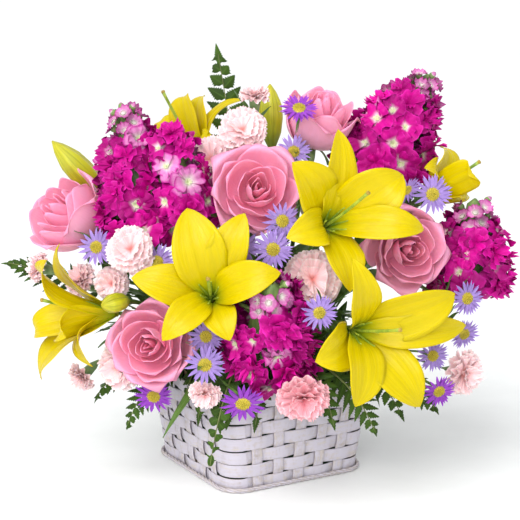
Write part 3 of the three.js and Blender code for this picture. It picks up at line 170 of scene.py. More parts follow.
# Each head: its place, the way it faces and its radius
CARNATIONS = [
    {"name": "carnations_top", "heads": (((212, 160, 30), (-0.35, 0.35, 0.87), 23),
     ((243, 131, 34), (0, 0.55, 0.84), 23), ((255, 97, 24), (0.05, 0.85, 0.2), 15))},
    {"name": "carnations_left", "heads": (((131, 250, 86), (-0.1, 0.4, 0.9), 22),
     ((82, 281, 30), (-0.6, 0.55, 0.5), 17), ((112, 284, 54), (-0.2, 0.25, 0.94), 17),
     ((40, 268, 0), (-0.85, 0.25, 0.3), 15))},
    {"name": "carnations_lower_left", "lean": (0, -14),
     "heads": (((121, 366, 58), (-0.55, -0.05, 0.83), 23), ((83, 376, 36), (-0.6, -0.5, 0.5), 15))},
    {"name": "carnation_front_left", "heads": (((205, 393, 121), (-0.1, -0.45, 0.88), 15),)},
    {"name": "carnation_front_right", "heads": (((303, 397, 132), (0.1, -0.35, 0.93), 24),)},
    {"name": "carnation_middle", "heads": (((312, 279, 86), (0.1, 0.3, 0.95), 27),)},
    {"name": "carnation_right", "heads": (((463, 373, 60), (0.7, 0, 0.7), 22),)},
]

ASTERS = [
    {"name": "asters_left", "heads": (((97, 247, 58), (-0.2, 0.2, 0.95), 17),
     ((157, 262, 84), (0, 0.3, 0.95), 17))},
    {"name": "asters_lower_left", "heads": (((206, 336, 120), (0, 0.1, 1), 16),
     ((205, 364, 132), (0, 0, 1), 18), ((154, 395, 78), (-0.1, -0.25, 0.96), 18),
     ((243, 402, 140), (0, -0.4, 0.9), 20))},
    {"name": "asters_centre", "heads": (((243, 246, 96), (-0.1, 0.1, 1), 16),
     ((282, 221, 100), (0.1, 0.2, 1), 17), ((273, 249, 112), (0, 0.1, 1), 18))},
    {"name": "asters_top", "heads": (((294, 152, 46), (-0.1, 0.3, 0.94), 16),
     ((299, 110, 56), (0, 0.75, 0.6), 17))},
    {"name": "aster_middle", "heads": (((319, 312, 138), (0.1, 0, 1), 16),)},
    {"name": "asters_upper_right", "heads": (((432, 194, 68), (0.1, 0.1, 0.98), 18),
     ((409, 192, 52), (-0.5, 0.5, 0.4), 14))},
    {"name": "asters_right", "heads": (((466, 298, 72), (0.35, 0.1, 0.93), 16),
     ((463, 333, 62), (0.35, -0.2, 0.9), 15))},
    {"name": "asters_lower_right", "heads": (((432, 355, 84), (0.2, 0, 0.98), 15),
     ((438, 390, 84), (0.3, -0.25, 0.9), 16))},
]

# The spray whose petals are of a deeper pink, and where the asters that are violet stand
DEEP_CARNATION = "carnation_front_right"
VIOLET_HEADS = {(154, 395), (243, 402), (299, 110), (438, 390)}

# Each frond: its tip, where its rib bends to, its half width, its pairs of leaflets and the way
# its upper face looks
FERNS = [
    {"name": "fern_top", "fronds": (((218, 54, -70), (236, 150, -64), 24, 8, (0.1, 0.1, 1)),)},
    {"name": "fern_left", "fronds": (((8, 263, -16), (70, 272, -30), 26, 9, (0.1, 0.85, 0.5)),)},
    {"name": "fern_lower_left",
     "fronds": (((127, 428, 60), (150, 350, 72), 20, 8, (-0.1, 0.7, 0.7)),
     ((96, 398, 20), (130, 340, 40), 20, 6, (-0.2, 0.8, 0.5)))},
    {"name": "fern_over_rim", "fronds": (((210, 466, 120), (229, 345, 130), 14, 8, (0, 0.3, 1)),)},
    {"name": "fern_lower_right",
     "fronds": (((376, 434, 92), (346, 358, 90), 22, 8, (0.1, 0.6, 0.8)),
     ((334, 426, 112), (318, 352, 104), 16, 6, (0, 0.5, 0.9)))},
    {"name": "fern_right", "fronds": (((437, 411, 44), (392, 348, 40), 24, 8, (0, 0.8, 0.6)),
     ((402, 416, 60), (372, 350, 54), 18, 6, (0, 0.7, 0.7)))},
    {"name": "fern_back_left",
     "fronds": (((120, 200, -130), (200, 230, -90), 30, 5, (-0.2, 0.7, -0.6)),
     ((100, 330, -120), (180, 300, -100), 28, 5, (-0.3, 0.8, -0.4)),
     ((220, 330, -170), (230, 280, -110), 28, 5, (0, 0.7, -0.6)))},
    {"name": "fern_back_right",
     "fronds": (((380, 200, -130), (300, 230, -90), 30, 5, (0.2, 0.7, -0.6)),
     ((420, 320, -110), (330, 300, -100), 28, 5, (0.3, 0.8, -0.4)),
     ((300, 180, -150), (280, 220, -110), 28, 5, (0, 0.7, -0.6)))},
]

# Each bud, with the plant whose stem carries it
BUDS = [
    {"owner": "lily_bud_left", "base": (112, 203, -22), "tip": (52, 141, -12), "radius": 12.5},
    {"owner": "lily_back", "base": (272, 150, -26), "tip": (270, 84, -34), "radius": 12},
    {"owner": "lily_far_left", "base": (130, 300, 78), "tip": (101, 306, 98), "radius": 9},
]

# Sizes that the builders below share with the solids

LILY_DEPTH = 27
INNER_RAISED = 6
HIP_LENGTH = 10
STOCK_NECK = 7
FERN_FROM = 0.42
BASKET_HEIGHT = 90
FOOT_HALF = 68
RIM_HALF = 78
CORNER_RADIUS = 17
ROWS = 7
STAKES_PER_SIDE = 5
WALL = 2.2
GAP = 0.3
FOAM_TOP = 105
ROOT_AIM = np.array((0.0, 0.0, FOAM_TOP - 130))
HANDLE_THICK = 2.5
HANDLE_TOP = 273
HANDLE_FOOT = 9


# Mesh building

def ring_angles(sides):
    return np.arange(sides) * FULL_TURN / sides


def polar(radius, angle, height=0.0):
    return np.array((radius * math.cos(angle), radius * math.sin(angle), height))


def ramp(rows):
    return np.linspace(0, 1, rows)


class Surface:
    """Collects sheets of quads, each with coordinates along and across it and a tint of its own."""

    def __init__(self):
        self.points, self.faces, self.coords, self.tints, self.slots = [], [], [], [], []
        self.count = 0

    def sheet(self, points, slot=0, tint=0.5, closed=False, along=(0, 1)):
        rows, columns = points.shape[:2]
        index = self.count + np.arange(rows * columns).reshape(rows, columns)
        if closed:
            index = np.concatenate((index, index[:, :1]), 1)
        quads = np.stack((index[:-1, :-1], index[:-1, 1:], index[1:, 1:], index[1:, :-1]), -1)
        self.faces.append(quads.reshape(-1, 4))
        self.slots.append(np.full(self.faces[-1].shape[0], slot))
        u, v = np.meshgrid(np.linspace(*along, rows), ramp(columns), indexing="ij")
        self.coords.append(np.stack((u, v), -1).reshape(-1, 2))
        self.tints.append(np.full(rows * columns, tint))
        self.points.append(points.reshape(-1, 3))
        self.count += rows * columns

    def blade(self, points, angle, place, axis, slot=0, tint=0.5, along=(0, 1)):
        """A petal or small leaf, turned to its angle round an axis that stands at a place."""
        self.sheet(stand(fan(points, angle), place, axis), slot, tint, along=along)

    def tube(self, line, radii, sides=8, slot=0, tint=0.5):
        line = np.asarray(line, float)
        radii = np.broadcast_to(np.asarray(radii, float), (len(line),))
        ways = headings(line)
        across = np.cross(ways[0], UP if abs(ways[0][2]) < 0.9 else RIGHT)
        angles = ring_angles(sides)
        rings = []
        for point, way, radius in zip(line, ways, radii):
            across = unit(across - way * across.dot(way))
            other = np.cross(way, across)
            circle = np.outer(np.cos(angles), across) + np.outer(np.sin(angles), other)
            rings.append(point + radius * circle)
        first, last = np.repeat(line[:1], sides, 0), np.repeat(line[-1:], sides, 0)
        self.sheet(np.array([first, *rings, last]), slot, tint, True)

    def turned(self, radii, heights, place, axis, sides=12, slot=0, tint=0.5, ripple=None):
        """A shape turned round an axis; ripple gives a factor of its radius at each side."""
        angles = ring_angles(sides)
        factor = np.ones(sides) if ripple is None else ripple(angles)
        radii, heights = np.asarray(radii, float), np.asarray(heights, float)
        points = np.zeros((len(radii), sides, 3))
        ring = np.stack((np.cos(angles), np.sin(angles)), -1) * factor[:, None]
        points[..., :2] = radii[:, None, None] * ring
        points[..., 2] = heights[:, None]
        self.sheet(stand(points, place, axis), slot, tint, True)

    def build(self, name, finishes, replaced, slot, thick, in_row):
        """Makes a piece of the sheets, whose points are in millimetres in either frame."""
        points = np.concatenate(self.points)
        points = points * MM if in_row else to_row(points)
        faces = np.concatenate(self.faces)
        mesh = bpy.data.meshes.new(name)
        mesh.from_pydata(points.tolist(), [], faces.tolist())
        corners = np.empty(len(mesh.loops), np.int32)
        mesh.loops.foreach_get("vertex_index", corners)
        coords = np.concatenate(self.coords)[corners].astype(np.float32)
        mesh.uv_layers.new(name="surface").data.foreach_set("uv", coords.ravel())
        tint = mesh.attributes.new("tint", "FLOAT", "POINT")
        tint.data.foreach_set("value", np.concatenate(self.tints).astype(np.float32))
        for finish in finishes:
            mesh.materials.append(MATERIALS[finish])
        slots = np.concatenate(self.slots).astype(np.int32)
        mesh.polygons.foreach_set("material_index", slots)
        mesh.polygons.foreach_set("use_smooth", np.ones(len(faces), bool))
        mesh.validate()
        mesh.update()
        settle(bpy.data.objects.new(name, mesh), replaced, thick)


def settle(piece, replaced, thick=0.0):
    """Puts a piece in the scene, on the part's body, in place of the nodes that it stands for."""
    bpy.context.scene.collection.objects.link(piece)
    if thick:
        solid = piece.modifiers.new("thickness", "SOLIDIFY")
        solid.thickness = thick * MM
        solid.offset = 0
    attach(piece, "root")
    if replaced:
        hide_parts(*replaced)


def turn_to(axis):
    """The smallest turn that takes +Z to an axis."""
    axis = unit(axis)
    x, y, z = np.cross(UP, axis)
    skew = np.array(((0, -z, y), (z, 0, -x), (-y, x, 0)))
    return np.eye(3) + skew + skew @ skew / (1 + float(UP.dot(axis)))


def around_up(angle):
    c, s = math.cos(angle), math.sin(angle)
    return np.array(((c, -s, 0), (s, c, 0), (0, 0, 1)))


def stand(points, place, axis, spin=0.0):
    """Stands points up along an axis at a place, after a spin round it."""
    return points @ (turn_to(axis) @ around_up(spin)).T + np.asarray(place)


def fan(points, angle):
    return points @ around_up(angle).T


def cubic(a, b, c, d, t):
    t = np.asarray(t, float)[:, None]
    return a * (1 - t) ** 3 + 3 * b * t * (1 - t) ** 2 + 3 * c * t * t * (1 - t) + d * t ** 3


def quadratic(a, b, c, t):
    t = np.asarray(t, float)[:, None]
    return a * (1 - t) ** 2 + 2 * b * t * (1 - t) + c * t * t


def headings(line):
    ways = np.gradient(line, axis=0)
    return ways / np.linalg.norm(ways, axis=1)[:, None]


def draws(name):
    """A repeatable source of draws of one piece's own."""
    return random.Random(name)


def in_ring(k, count, jitter, draw):
    """The angle of one of a ring of petals, off its place by a draw."""
    return FULL_TURN * (k + draw.uniform(-jitter, jitter)) / count


def petal(length, wide, rows, columns, rise, cup=0.15, ruffle=0.0, waves=3, notch=0.0, teeth=0,
          phase=0.0, shape=(0.25, 1.0, 0.8)):
    """A petal that lies along +X from the middle: `rise` gives its height at shares of its length,
    `shape` its width at the base, at its widest place and near the tip."""
    t = ramp(rows)
    v = np.linspace(-1, 1, columns)
    width = np.interp(t, (0, 0.6, 1), shape) * wide
    reach = length * (1 - 0.22 * v ** 2 - notch * np.exp(-(v / 0.22) ** 2))
    if teeth:
        reach = reach * (1 - 0.09 * np.abs(np.sin(v * teeth * math.pi / 2 + phase)))
    t, v = t[:, None], v[None, :]
    x = t * (length * (1 - t) + reach[None, :] * t)
    y = v * width[:, None]
    z = np.interp(t, ramp(len(rise)), rise) + cup * wide * v ** 2 * t
    z = z + ruffle * np.sin(v * waves * math.pi + phase) * t ** 2
    return np.stack((x, y * np.ones_like(z), z), -1)


# Lilies

TEPAL_CURL = 14
STIGMA_LOBES = 3
STAMENS = 6


def lily_frame(lily):
    axis = facing(lily["axis"])
    heart = spot(lily["throat"])
    return axis, heart, heart - axis * LILY_DEPTH


def tepal_sheet(base, axis, tip, half, curl, raised, phase):
    """A tepal with a sunk midrib, two side veins and a waved edge."""
    reach = tip - base
    advance = reach.dot(axis)
    radial = reach - axis * advance
    spread = np.linalg.norm(radial)
    radial /= spread
    t = ramp(22)
    rib = cubic(
        base + radial * 3 + axis * (1.8 + raised * 0.6),
        base + radial * (11 - raised) + axis * (LILY_DEPTH * 0.8 + raised),
        base + radial * spread * 0.55 + axis * (advance + curl + raised),
        tip, t)
    across = np.cross(axis, radial)
    lift = -np.cross(across, headings(rib))
    wide = (half * np.sin(math.pi * t ** 1.2) ** 0.8 + 1.5 * (1 - t))[:, None, None]
    v = np.linspace(-1, 1, 13)[None, :, None]
    grown = np.sin(math.pi * t)[:, None, None]
    profile = 0.16 * wide * v ** 2 - 1.5 * grown * np.exp(-(v / 0.12) ** 2)
    profile = profile - 0.5 * grown * np.exp(-((np.abs(v) - 0.5) / 0.12) ** 2)
    wave = np.sin(FULL_TURN * (2.1 * t + phase))[:, None, None]
    profile = profile + 1.5 * grown * wave * np.abs(v) ** 3 * np.sign(v)
    return rib[:, None] + across * v * wide + lift[:, None] * profile


def tepal_sheets(lily, phase):
    """Makes a lily's tepals one by one; `phase` gives where the waves of each one's edge start."""
    axis, _, base = lily_frame(lily)
    for i, tip in enumerate(lily["tips"]):
        curl = tip[4] if len(tip) > 4 else TEPAL_CURL
        raised = 0 if i % 2 else INNER_RAISED
        yield tepal_sheet(base, axis, spot(tip), tip[3], curl, raised, phase())


def lily_parts(surface, lily):
    draw = draws(lily["name"])
    axis, heart, base = lily_frame(lily)
    for tepal in tepal_sheets(lily, draw.random):
        surface.sheet(tepal, 0, draw.uniform(0.35, 0.65))
    stigma = spot(lily["stigma"])
    way = unit(stigma - heart)
    t = ramp(14)
    style = cubic(base, base + axis * 22, stigma - way * 22, stigma, t)
    surface.tube(style, np.interp(t, (0, 0.15, 0.9, 1), (2.4, 1.2, 1.1, 1.5)), 8, 1)
    for k in range(STIGMA_LOBES):
        lobe = stand(polar(1.7, k * THIRD_TURN, 0.5), stigma, way)
        ends = stigma + (lobe - stigma) * ramp(4)[:, None]
        surface.tube(ends, (1.0, 1.2, 1.1, 0.5), 7, 2)
    for k in range(STAMENS):
        out = stand(polar(1, k * SIXTH_TURN + 0.4), (0, 0, 0), axis)
        end = heart + axis * draw.uniform(2, 10) + out * draw.uniform(8, 12)
        line = cubic(base + out * 2, base + axis * 18 + out * 3, end - axis * 8, end, ramp(9))
        surface.tube(line, np.linspace(0.9, 0.35, 9), 5, 1, 0.2)


def bud_frame(bud):
    start, end = spot(bud["base"]), spot(bud["tip"])
    return start, end, unit(end - start)


def bud_parts(surface, bud):
    """A closed bud with a ridge along each of its three outer tepals."""
    start, end, axis = bud_frame(bud)
    t = ramp(20)
    wide = np.interp(t, (0, 0.06, 0.25, 0.5, 0.7, 0.88, 1), (0.16, 0.36, 0.8, 1, 0.9, 0.5, 0.05))
    surface.turned(wide * bud["radius"], t * np.linalg.norm(end - start), start, axis, 36, 0, 0.5,
                   lambda a: 1 - 0.1 * np.abs(np.cos(1.5 * a)) ** 6 - 0.03 * np.cos(6 * a))


# Roses

# Whorls from the outside in: petals, share of the radius, share of the height, half spread in
# degrees, how far the rim rolls out, height of the root
ROSE_WHORLS = (
    (4, 1.0, 0.64, 62, 0.36, 1),
    (4, 0.86, 0.84, 60, 0.27, 4),
    (3, 0.66, 0.96, 72, 0.19, 7),
    (3, 0.46, 1.02, 74, 0.1, 10),
    (3, 0.3, 1.04, 80, 0.05, 13),
    (2, 0.17, 1.03, 112, 0.02, 16),
    (1, 0.08, 1.0, 170, 0.0, 18),
)

# Roses seen from the side, whose outer petals still stand up, and how far each is closed
CLOSED_ROSES = {"rose_far_left": 0.75, "rose_back": 0.6}
SEPALS = 5
HIP_THICK = 0.5


def rose_frame(rose):
    axis = facing(rose["face"])
    return axis, spot(rose["centre"]) - axis * rose["height"] * 0.55


def rose_petal(radius, height, angle, spread, roll, root, draw):
    """A broad petal that cups up from the hip; its rim rolls out and its sides roll out more."""
    t = ramp(16)
    v = np.linspace(-1, 1, 17)[None, :]
    rib = cubic(
        np.array((2.5, 0, root)),
        np.array((radius * 1.02, 0, root + height * 0.02)),
        np.array((radius * 1.04, 0, height * 0.7)),
        np.array((radius * min(0.8 + 0.9 * roll, 1.04), 0, height)), t)
    lip = np.clip((t - 0.7) / 0.3, 0, 1)[:, None]
    out = rib[:, 0][:, None] * (1 + draw.uniform(0.05, 0.11) * v)
    sides = 0.45 + 0.75 * np.abs(v) ** 1.5
    out = out + roll * radius * 0.52 * lip ** 2 * sides
    z = rib[:, 2][:, None] - height * 0.17 * v ** 2 * (t ** 2)[:, None]
    z = z - roll * radius * 0.5 * lip ** 3 * sides
    phase, waves = draw.uniform(0, ANY_ANGLE), draw.uniform(2.2, 3.6)
    z = z + 1.1 * np.sin(v * waves + phase) * lip ** 2 * (0.4 + 2.4 * roll)
    out = out + 0.6 * np.cos(v * waves * 1.4 + phase) * (t ** 3)[:, None]
    around = spread * v * (0.42 + 0.58 * np.sin(math.pi * t ** 0.62))[:, None] + angle
    return np.stack((out * np.cos(around), out * np.sin(around), z), -1)


def rose_parts(surface, rose):
    draw = draws(rose["name"])
    axis, base = rose_frame(rose)
    turn = draw.uniform(0, 6)
    spin = math.radians(rose["spin"])
    closed = CLOSED_ROSES.get(rose["name"], 0)
    for ring, (count, share, rise, spread, roll, root) in enumerate(ROSE_WHORLS):
        turn += 0.62
        for k in range(count):
            angle = turn + in_ring(k, count, 0.08, draw)
            tall = rose["height"] * (rise + closed * (1 - rise)) * draw.uniform(0.96, 1.03)
            curl = roll * (1 - 0.6 * closed) * draw.uniform(0.7, 1.2)
            radius = rose["radius"] * share * draw.uniform(0.96, 1.02)
            sheet = rose_petal(radius, tall, angle, math.radians(spread), curl, root, draw)
            surface.sheet(stand(sheet, base, axis, spin), 0, ring / (len(ROSE_WHORLS) - 1))


def rose_hip(surface, rose):
    """The hip under a rose, with five sepals that hang out and down."""
    axis, base = rose_frame(rose)
    neck = base - axis * (GAP + HIP_LENGTH)
    surface.turned((2, 2.6, 4.6, 5, 4.6, 3), (-1, 0, 4, 7, 9.6, 10), neck, axis)
    draw = draws(rose["name"] + "sepal")
    for k in range(SEPALS):
        heights = (0, -1, -4, -9, -15)
        sepal = petal(20, 3.4, 8, 5, heights, 0.2, 0.6, 2, phase=k, shape=(1, 0.7, 0.1))
        sepal[..., 0] += 3
        angle = k * FIFTH_TURN + draw.uniform(-0.15, 0.15)
        surface.blade(sepal, angle, base - axis * 1.2, axis)


# Stock

# The core's share of a spike's radius, and the share of the florets that show a pale middle
STOCK_CORE = 0.55
STARRED = 0.5
# Places of a stock's finishes in its list
PETALS, MIDDLE, CALYX, CORE, PALE = range(5)
FLORET_AREA = 58
FLORET_CLEARANCE = 8


def lily_points():
    """Places all over the lilies' petals, which the florets keep clear of."""
    return np.concatenate([tepal[::2, ::2].reshape(-1, 3) for lily in LILIES
                           for tepal in tepal_sheets(lily, lambda: 0.5)])


def stock_parts(surface, stock):
    """Spikes of florets that wind up a core, smaller towards the top, with buds above them."""
    draw = draws(stock["name"])
    petals = lily_points()
    for foot, tip, low, high, buds in stock["spikes"]:
        start, end = spot(foot), spot(tip)
        axis = unit(end - start)
        length = np.linalg.norm(end - start)
        count = int(length * (low + high) / 2 / FLORET_AREA)
        radii = (2.6, low * 0.3, low * 0.5, (low + high) * 0.25, high * 0.4, 1)
        heights = (-STOCK_NECK, 0, length * 0.2, length * 0.6, length * 0.95, length * 1.02)
        surface.turned(radii, heights, start, axis, 14, CORE)
        for i in range(count + buds):
            t = ((i + 0.4) / (count + buds)) ** 1.08
            angle = i * GOLDEN_ANGLE + draw.uniform(-0.25, 0.25)
            radius = low + (high - low) * t
            rise = 0.9 if i >= count else -0.3 + 1.1 * t + draw.uniform(-0.3, 0.3)
            heading = stand(unit(polar(1, angle, rise)), (0, 0, 0), axis)
            inner = radius * STOCK_CORE * 0.8
            root = stand(polar(inner, angle, t * length), start, axis)
            away = radius * draw.uniform(0.98, 1.08) - inner
            reach = 9 if i >= count else away + 5
            gaps = np.linalg.norm(petals - root - heading * reach, axis=1)
            if np.min(gaps) < FLORET_CLEARANCE:
                continue
            if i >= count:
                stock_bud(surface, root, heading, draw, t)
            else:
                size = 15.5 + 4 * draw.random() - 5 * t
                stock_floret(surface, root, heading, away, size, draw, t)


def stock_floret(surface, root, heading, away, size, draw, t):
    """A double floret of crumpled petals; in some a pale star and tuft show in the middle."""
    place = root + heading * away
    tint = draw.uniform(0.1, 0.9)
    starred = draw.random() < STARRED
    hidden = 0 if starred else 0.45
    colour = PALE if starred and draw.random() < t * 0.6 else PETALS
    surface.tube(np.linspace(root, place, 3), (1.5, 1.7, 2.2), 6, CORE)
    # Whorls: petals, share of the size, half width, rise at three places
    whorls = ((4, 1.0, 0.68, (0.0, 0.1, draw.uniform(-0.35, 0.1))),
              (4, 0.82, 0.58, (0.02, 0.3, 0.25)), (3, 0.56, 0.46, (0.05, 0.45, 0.6)))
    for layer, (count, share, wide, rise) in enumerate(whorls[:2] if starred else whorls):
        turn = draw.uniform(0, ANY_ANGLE)
        for k in range(count):
            long = size * share * draw.uniform(0.88, 1.08)
            lean = draw.uniform(-0.36, 0.36)
            heights = [size * (r + lean * i * 0.5) for i, r in enumerate(rise)]
            blade = petal(long, size * wide * share, 7, 8, heights, 0.12,
                          size * draw.uniform(0.12, 0.3), draw.uniform(1.0, 2.4),
                          draw.uniform(0.0, 0.3), phase=draw.uniform(0, 6), shape=(0.14, 0.9, 0.95))
            angle = turn + in_ring(k, count, 0.15, draw)
            tone = min(1, tint + 0.08 * layer)
            surface.blade(blade, angle, place, heading, colour, tone, (hidden, 1))
    for k in range(5 if starred else 0):
        heights = (0.3, size * 0.14, size * draw.uniform(0.12, 0.22))
        tuft = petal(size * 0.22, size * 0.09, 4, 3, heights, 0.3)
        surface.blade(tuft, k * 1.26 + tint * 6, place, heading, MIDDLE, tint)


def stock_bud(surface, root, heading, draw, t):
    """A bud in its calyx: closed at the spike's very top, half open below it."""
    long = 9 - 3 * t + draw.uniform(-1, 1)
    heights = (-2, long * 0.2, long * 0.5, long * 0.8, long)
    surface.turned((1.3, 1.5, 2.8, 3.1, 2.5), heights, root, heading, 8, CALYX)
    place = root + heading * long * 0.8
    if t > 0.95:
        surface.turned((2.3, 2.5, 1.6, 0.2), (0, 1.6, 3.2, 4.2), place, heading, 8, PALE, 0.3)
        return
    for k in range(5):
        lean = draw.uniform(-1, 3)
        blade = petal(10.5 - 3 * t, 4.2, 6, 5, (0, 1.4, 1.6 + lean), 0.3, draw.uniform(0.8, 1.8), 2,
                      shape=(0.3, 1, 0.8), phase=draw.uniform(0, 6))
        angle = k * FIFTH_TURN + draw.uniform(-0.2, 0.2)
        surface.blade(blade, angle, place, heading, PALE, draw.random())


# Small carnations and asters

# How far behind the carnations and the asters their stalks end, inside the cups
CALYX_LENGTH = 20
CUP_LENGTH = 7
CALYX_TEETH = 5
DISC_FLORETS = 58
BRACTS = 12
# Tiers from the outside in: petals, share of the radius, half width, rise at three places
CARNATION_TIERS = (
    (6, 1.0, 0.56, (-2.0, 0.8, -0.5)),
    (6, 0.96, 0.54, (-1.0, 3.0, 3.5)),
    (5, 0.82, 0.52, (0.0, 5.0, 7.5)),
    (4, 0.62, 0.5, (0.5, 7.0, 10.5)),
    (3, 0.4, 0.46, (1.0, 7.5, 12.5)),
)


def carnation_parts(surface, draw, place, axis, radius):
    """Tiers of ruffled petals with toothed tips, that stand up more towards the middle."""
    scale = max(0.7, radius / 21)
    for tier, (count, share, wide, rise) in enumerate(CARNATION_TIERS):
        for k in range(count):
            size = radius * share * draw.uniform(0.9, 1.06)
            lean = draw.uniform(-2.4, 2.4) * scale
            heights = [h * scale + lean * i * 0.5 for i, h in enumerate(rise)]
            blade = petal(size, radius * wide, 9, 19, heights, 0.06,
                          radius * draw.uniform(0.07, 0.13), draw.uniform(2.0, 3.8), 0.0, 9,
                          draw.uniform(0, 6), (0.1, 0.72, 1.08))
            angle = in_ring(k, count, 0.16, draw) + tier * 0.45
            tint = min(1, 0.2 + 0.16 * tier + draw.uniform(0, 0.12))
            surface.blade(blade, angle, place, axis, 0, tint)


def carnation_calyx(surface, draw, place, axis, radius):
    """The ribbed cup under a carnation, the same for all sizes, with its five teeth."""
    surface.turned((1.2, 1.6, 3.9, 4.7, 5.2, 4.4), (-21, -20, -14, -7, -2.5, -1), place, axis, 14,
                   0, 0.6, lambda a: 1 + 0.04 * np.cos(5 * a))
    for k in range(CALYX_TEETH):
        tooth = petal(6, 2.2, 4, 3, (0, 1.4, 2.6), shape=(1, 0.6, 0.05))
        tooth[..., 0] += 3.4
        surface.blade(tooth, k * FIFTH_TURN, place - axis * 3.4, axis, 0, 0.6)


def aster_parts(surface, draw, place, axis, radius):
    """Two layers of narrow rays round a domed disc of tiny florets."""
    for layer, (count, lift) in enumerate(((17, 0.0), (16, 1.1))):
        for k in range(count):
            size = radius * draw.uniform(0.9, 1.04)
            heights = (1 + lift, 1.6 + lift, 1.4 + lift + draw.uniform(-1.4, 1.4))
            ray = petal(size, radius * 0.085, 6, 3, heights, 0.25, shape=(0.55, 1.0, 0.7))
            angle = in_ring(k + 0.5 * layer, count, 0.2, draw)
            surface.blade(ray, angle, place, axis, 0, draw.uniform(0.3, 0.8))
    disc = radius * 0.34
    dome = np.sin(ramp(6) * math.pi / 2)
    surface.turned(disc * dome[::-1], 1.6 + 2.4 * dome, place, axis, 14, 1, 0.2)
    for i in range(DISC_FLORETS):
        share = math.sqrt((i + 0.5) / DISC_FLORETS)
        angle = i * GOLDEN_ANGLE
        point = stand(polar(disc * share, angle, 1.8 + 2.5 * (1 - share ** 2)), place, axis)
        lean = stand(unit(polar(0.5 * share, angle, 1)), (0, 0, 0), axis)
        tint = draw.uniform(0.3, 0.9)
        surface.turned((0.62, 0.58, 0.1), (-0.4, 0.7, 1.2), point, lean, 5, 1, tint)


def aster_cup(surface, draw, place, axis, radius):
    """The cup under an aster, with a ring of narrow bracts."""
    radii = (0.8, 1.4, radius * 0.24, radius * 0.33, radius * 0.3)
    surface.turned(radii, (-8.5, -7, -4, -0.8, 0.8), place, axis)
    for k in range(BRACTS):
        bract = petal(radius * 0.34, 0.9, 4, 3, (0, -0.6, -0.8), shape=(1, 0.8, 0.1))
        bract[..., 0] += radius * 0.14
        surface.blade(bract, k * TWELFTH_TURN, place - axis * (1.2 + 2 * (k % 2)), axis, 0, 0.7)


# Fern

# Stems stand in the foam's mouth at a share of the distance that their ends are from its middle,
# inside these limits and this far from each other
MOUTH_SHARE = 50 / 215
MOUTH_LIMIT = 49
MOUTH_DIAGONAL = 78
MOUTH_SPACING = 9.5
SPREAD_STEPS = 400
# Pairs of leaflets on the stretch of rib below the blade that the solids show; how much closer the
# pairs stand than the solids', on the wide fronds at the back and elsewhere; fronds narrower than
# OVAL_HALF have small oval leaflets
PAIRS_BELOW = 3
BACK_HALF = 28
BACK_DENSER = 1.7
DENSER = 1.15
OVAL_HALF = 15
RIB_STEPS = 24
# Short sprigs of fern round the basket: each grows from the foam's edge and hangs over the rim
RIM_SPRIGS = 28
SPRIG_ROOT = 50


def stem_ends():
    """The name of each stem, the end that it reaches for and its lean, in the solids' order."""
    def lean(plant):
        return plant.get("lean", (0, 0))
    for lily in LILIES:
        yield lily["name"] + "_stem", lily_frame(lily)[2], lean(lily)
    yield "lily_bud_left", spot(BUDS[0]["base"]), (0, 0)
    for rose in ROSES:
        yield rose["name"] + "_stem", rose_frame(rose)[1], lean(rose)
    for stock in STOCKS:
        yield stock["name"] + "_stem", spot(stock["spikes"][0][0]), lean(stock)
    for spray in CARNATIONS + ASTERS:
        yield spray["name"], spot(spray["heads"][0][0]), lean(spray)
    for fern in FERNS:
        yield fern["name"], spot(fern["fronds"][0][1]), (0, 0)


def root_starts():
    """Where each stem leaves the foam, by the same rule as the solids."""
    roots = [[name, end[0] * MOUTH_SHARE + lean[0], end[1] * MOUTH_SHARE - lean[1]]
             for name, end, lean in stem_ends()]
    c, s = math.cos(TURN), math.sin(TURN)
    for _ in range(SPREAD_STEPS):
        for i, a in enumerate(roots):
            for b in roots[i + 1:]:
                dx, dy = a[1] - b[1], a[2] - b[2]
                distance = max(math.hypot(dx, dy), 0.01)
                push = (MOUTH_SPACING - distance) / 2
                if push > 0:
                    dx, dy = dx * push / distance, dy * push / distance
                    a[1] += dx
                    a[2] += dy
                    b[1] -= dx
                    b[2] -= dy
            x, y = c * a[1] - s * a[2], s * a[1] + c * a[2]
            x, y = (min(max(way, -MOUTH_LIMIT), MOUTH_LIMIT) for way in (x, y))
            beyond = abs(x) + abs(y) - MOUTH_DIAGONAL
            if beyond > 0:
                x -= math.copysign(beyond / 2, x)
                y -= math.copysign(beyond / 2, y)
            a[1], a[2] = c * x + s * y, -s * x + c * y
    mouths = {name: np.array((x, y, FOAM_TOP)) for name, x, y in roots}
    return {name: mouth + unit(mouth - ROOT_AIM) * 2 for name, mouth in mouths.items()}


def frond_parts(surface, start, frond, draw):
    """A frond's rib past the solids' bare stalk, with its leaflets."""
    tip, bend, half, pairs, normal = frond
    pairs = round(pairs * (BACK_DENSER if half >= BACK_HALF else DENSER))
    line = (start, spot(bend), spot(tip))
    leafy_rib(surface, line, FERN_FROM, facing(normal), half, pairs, PAIRS_BELOW, draw,
              half < OVAL_HALF)


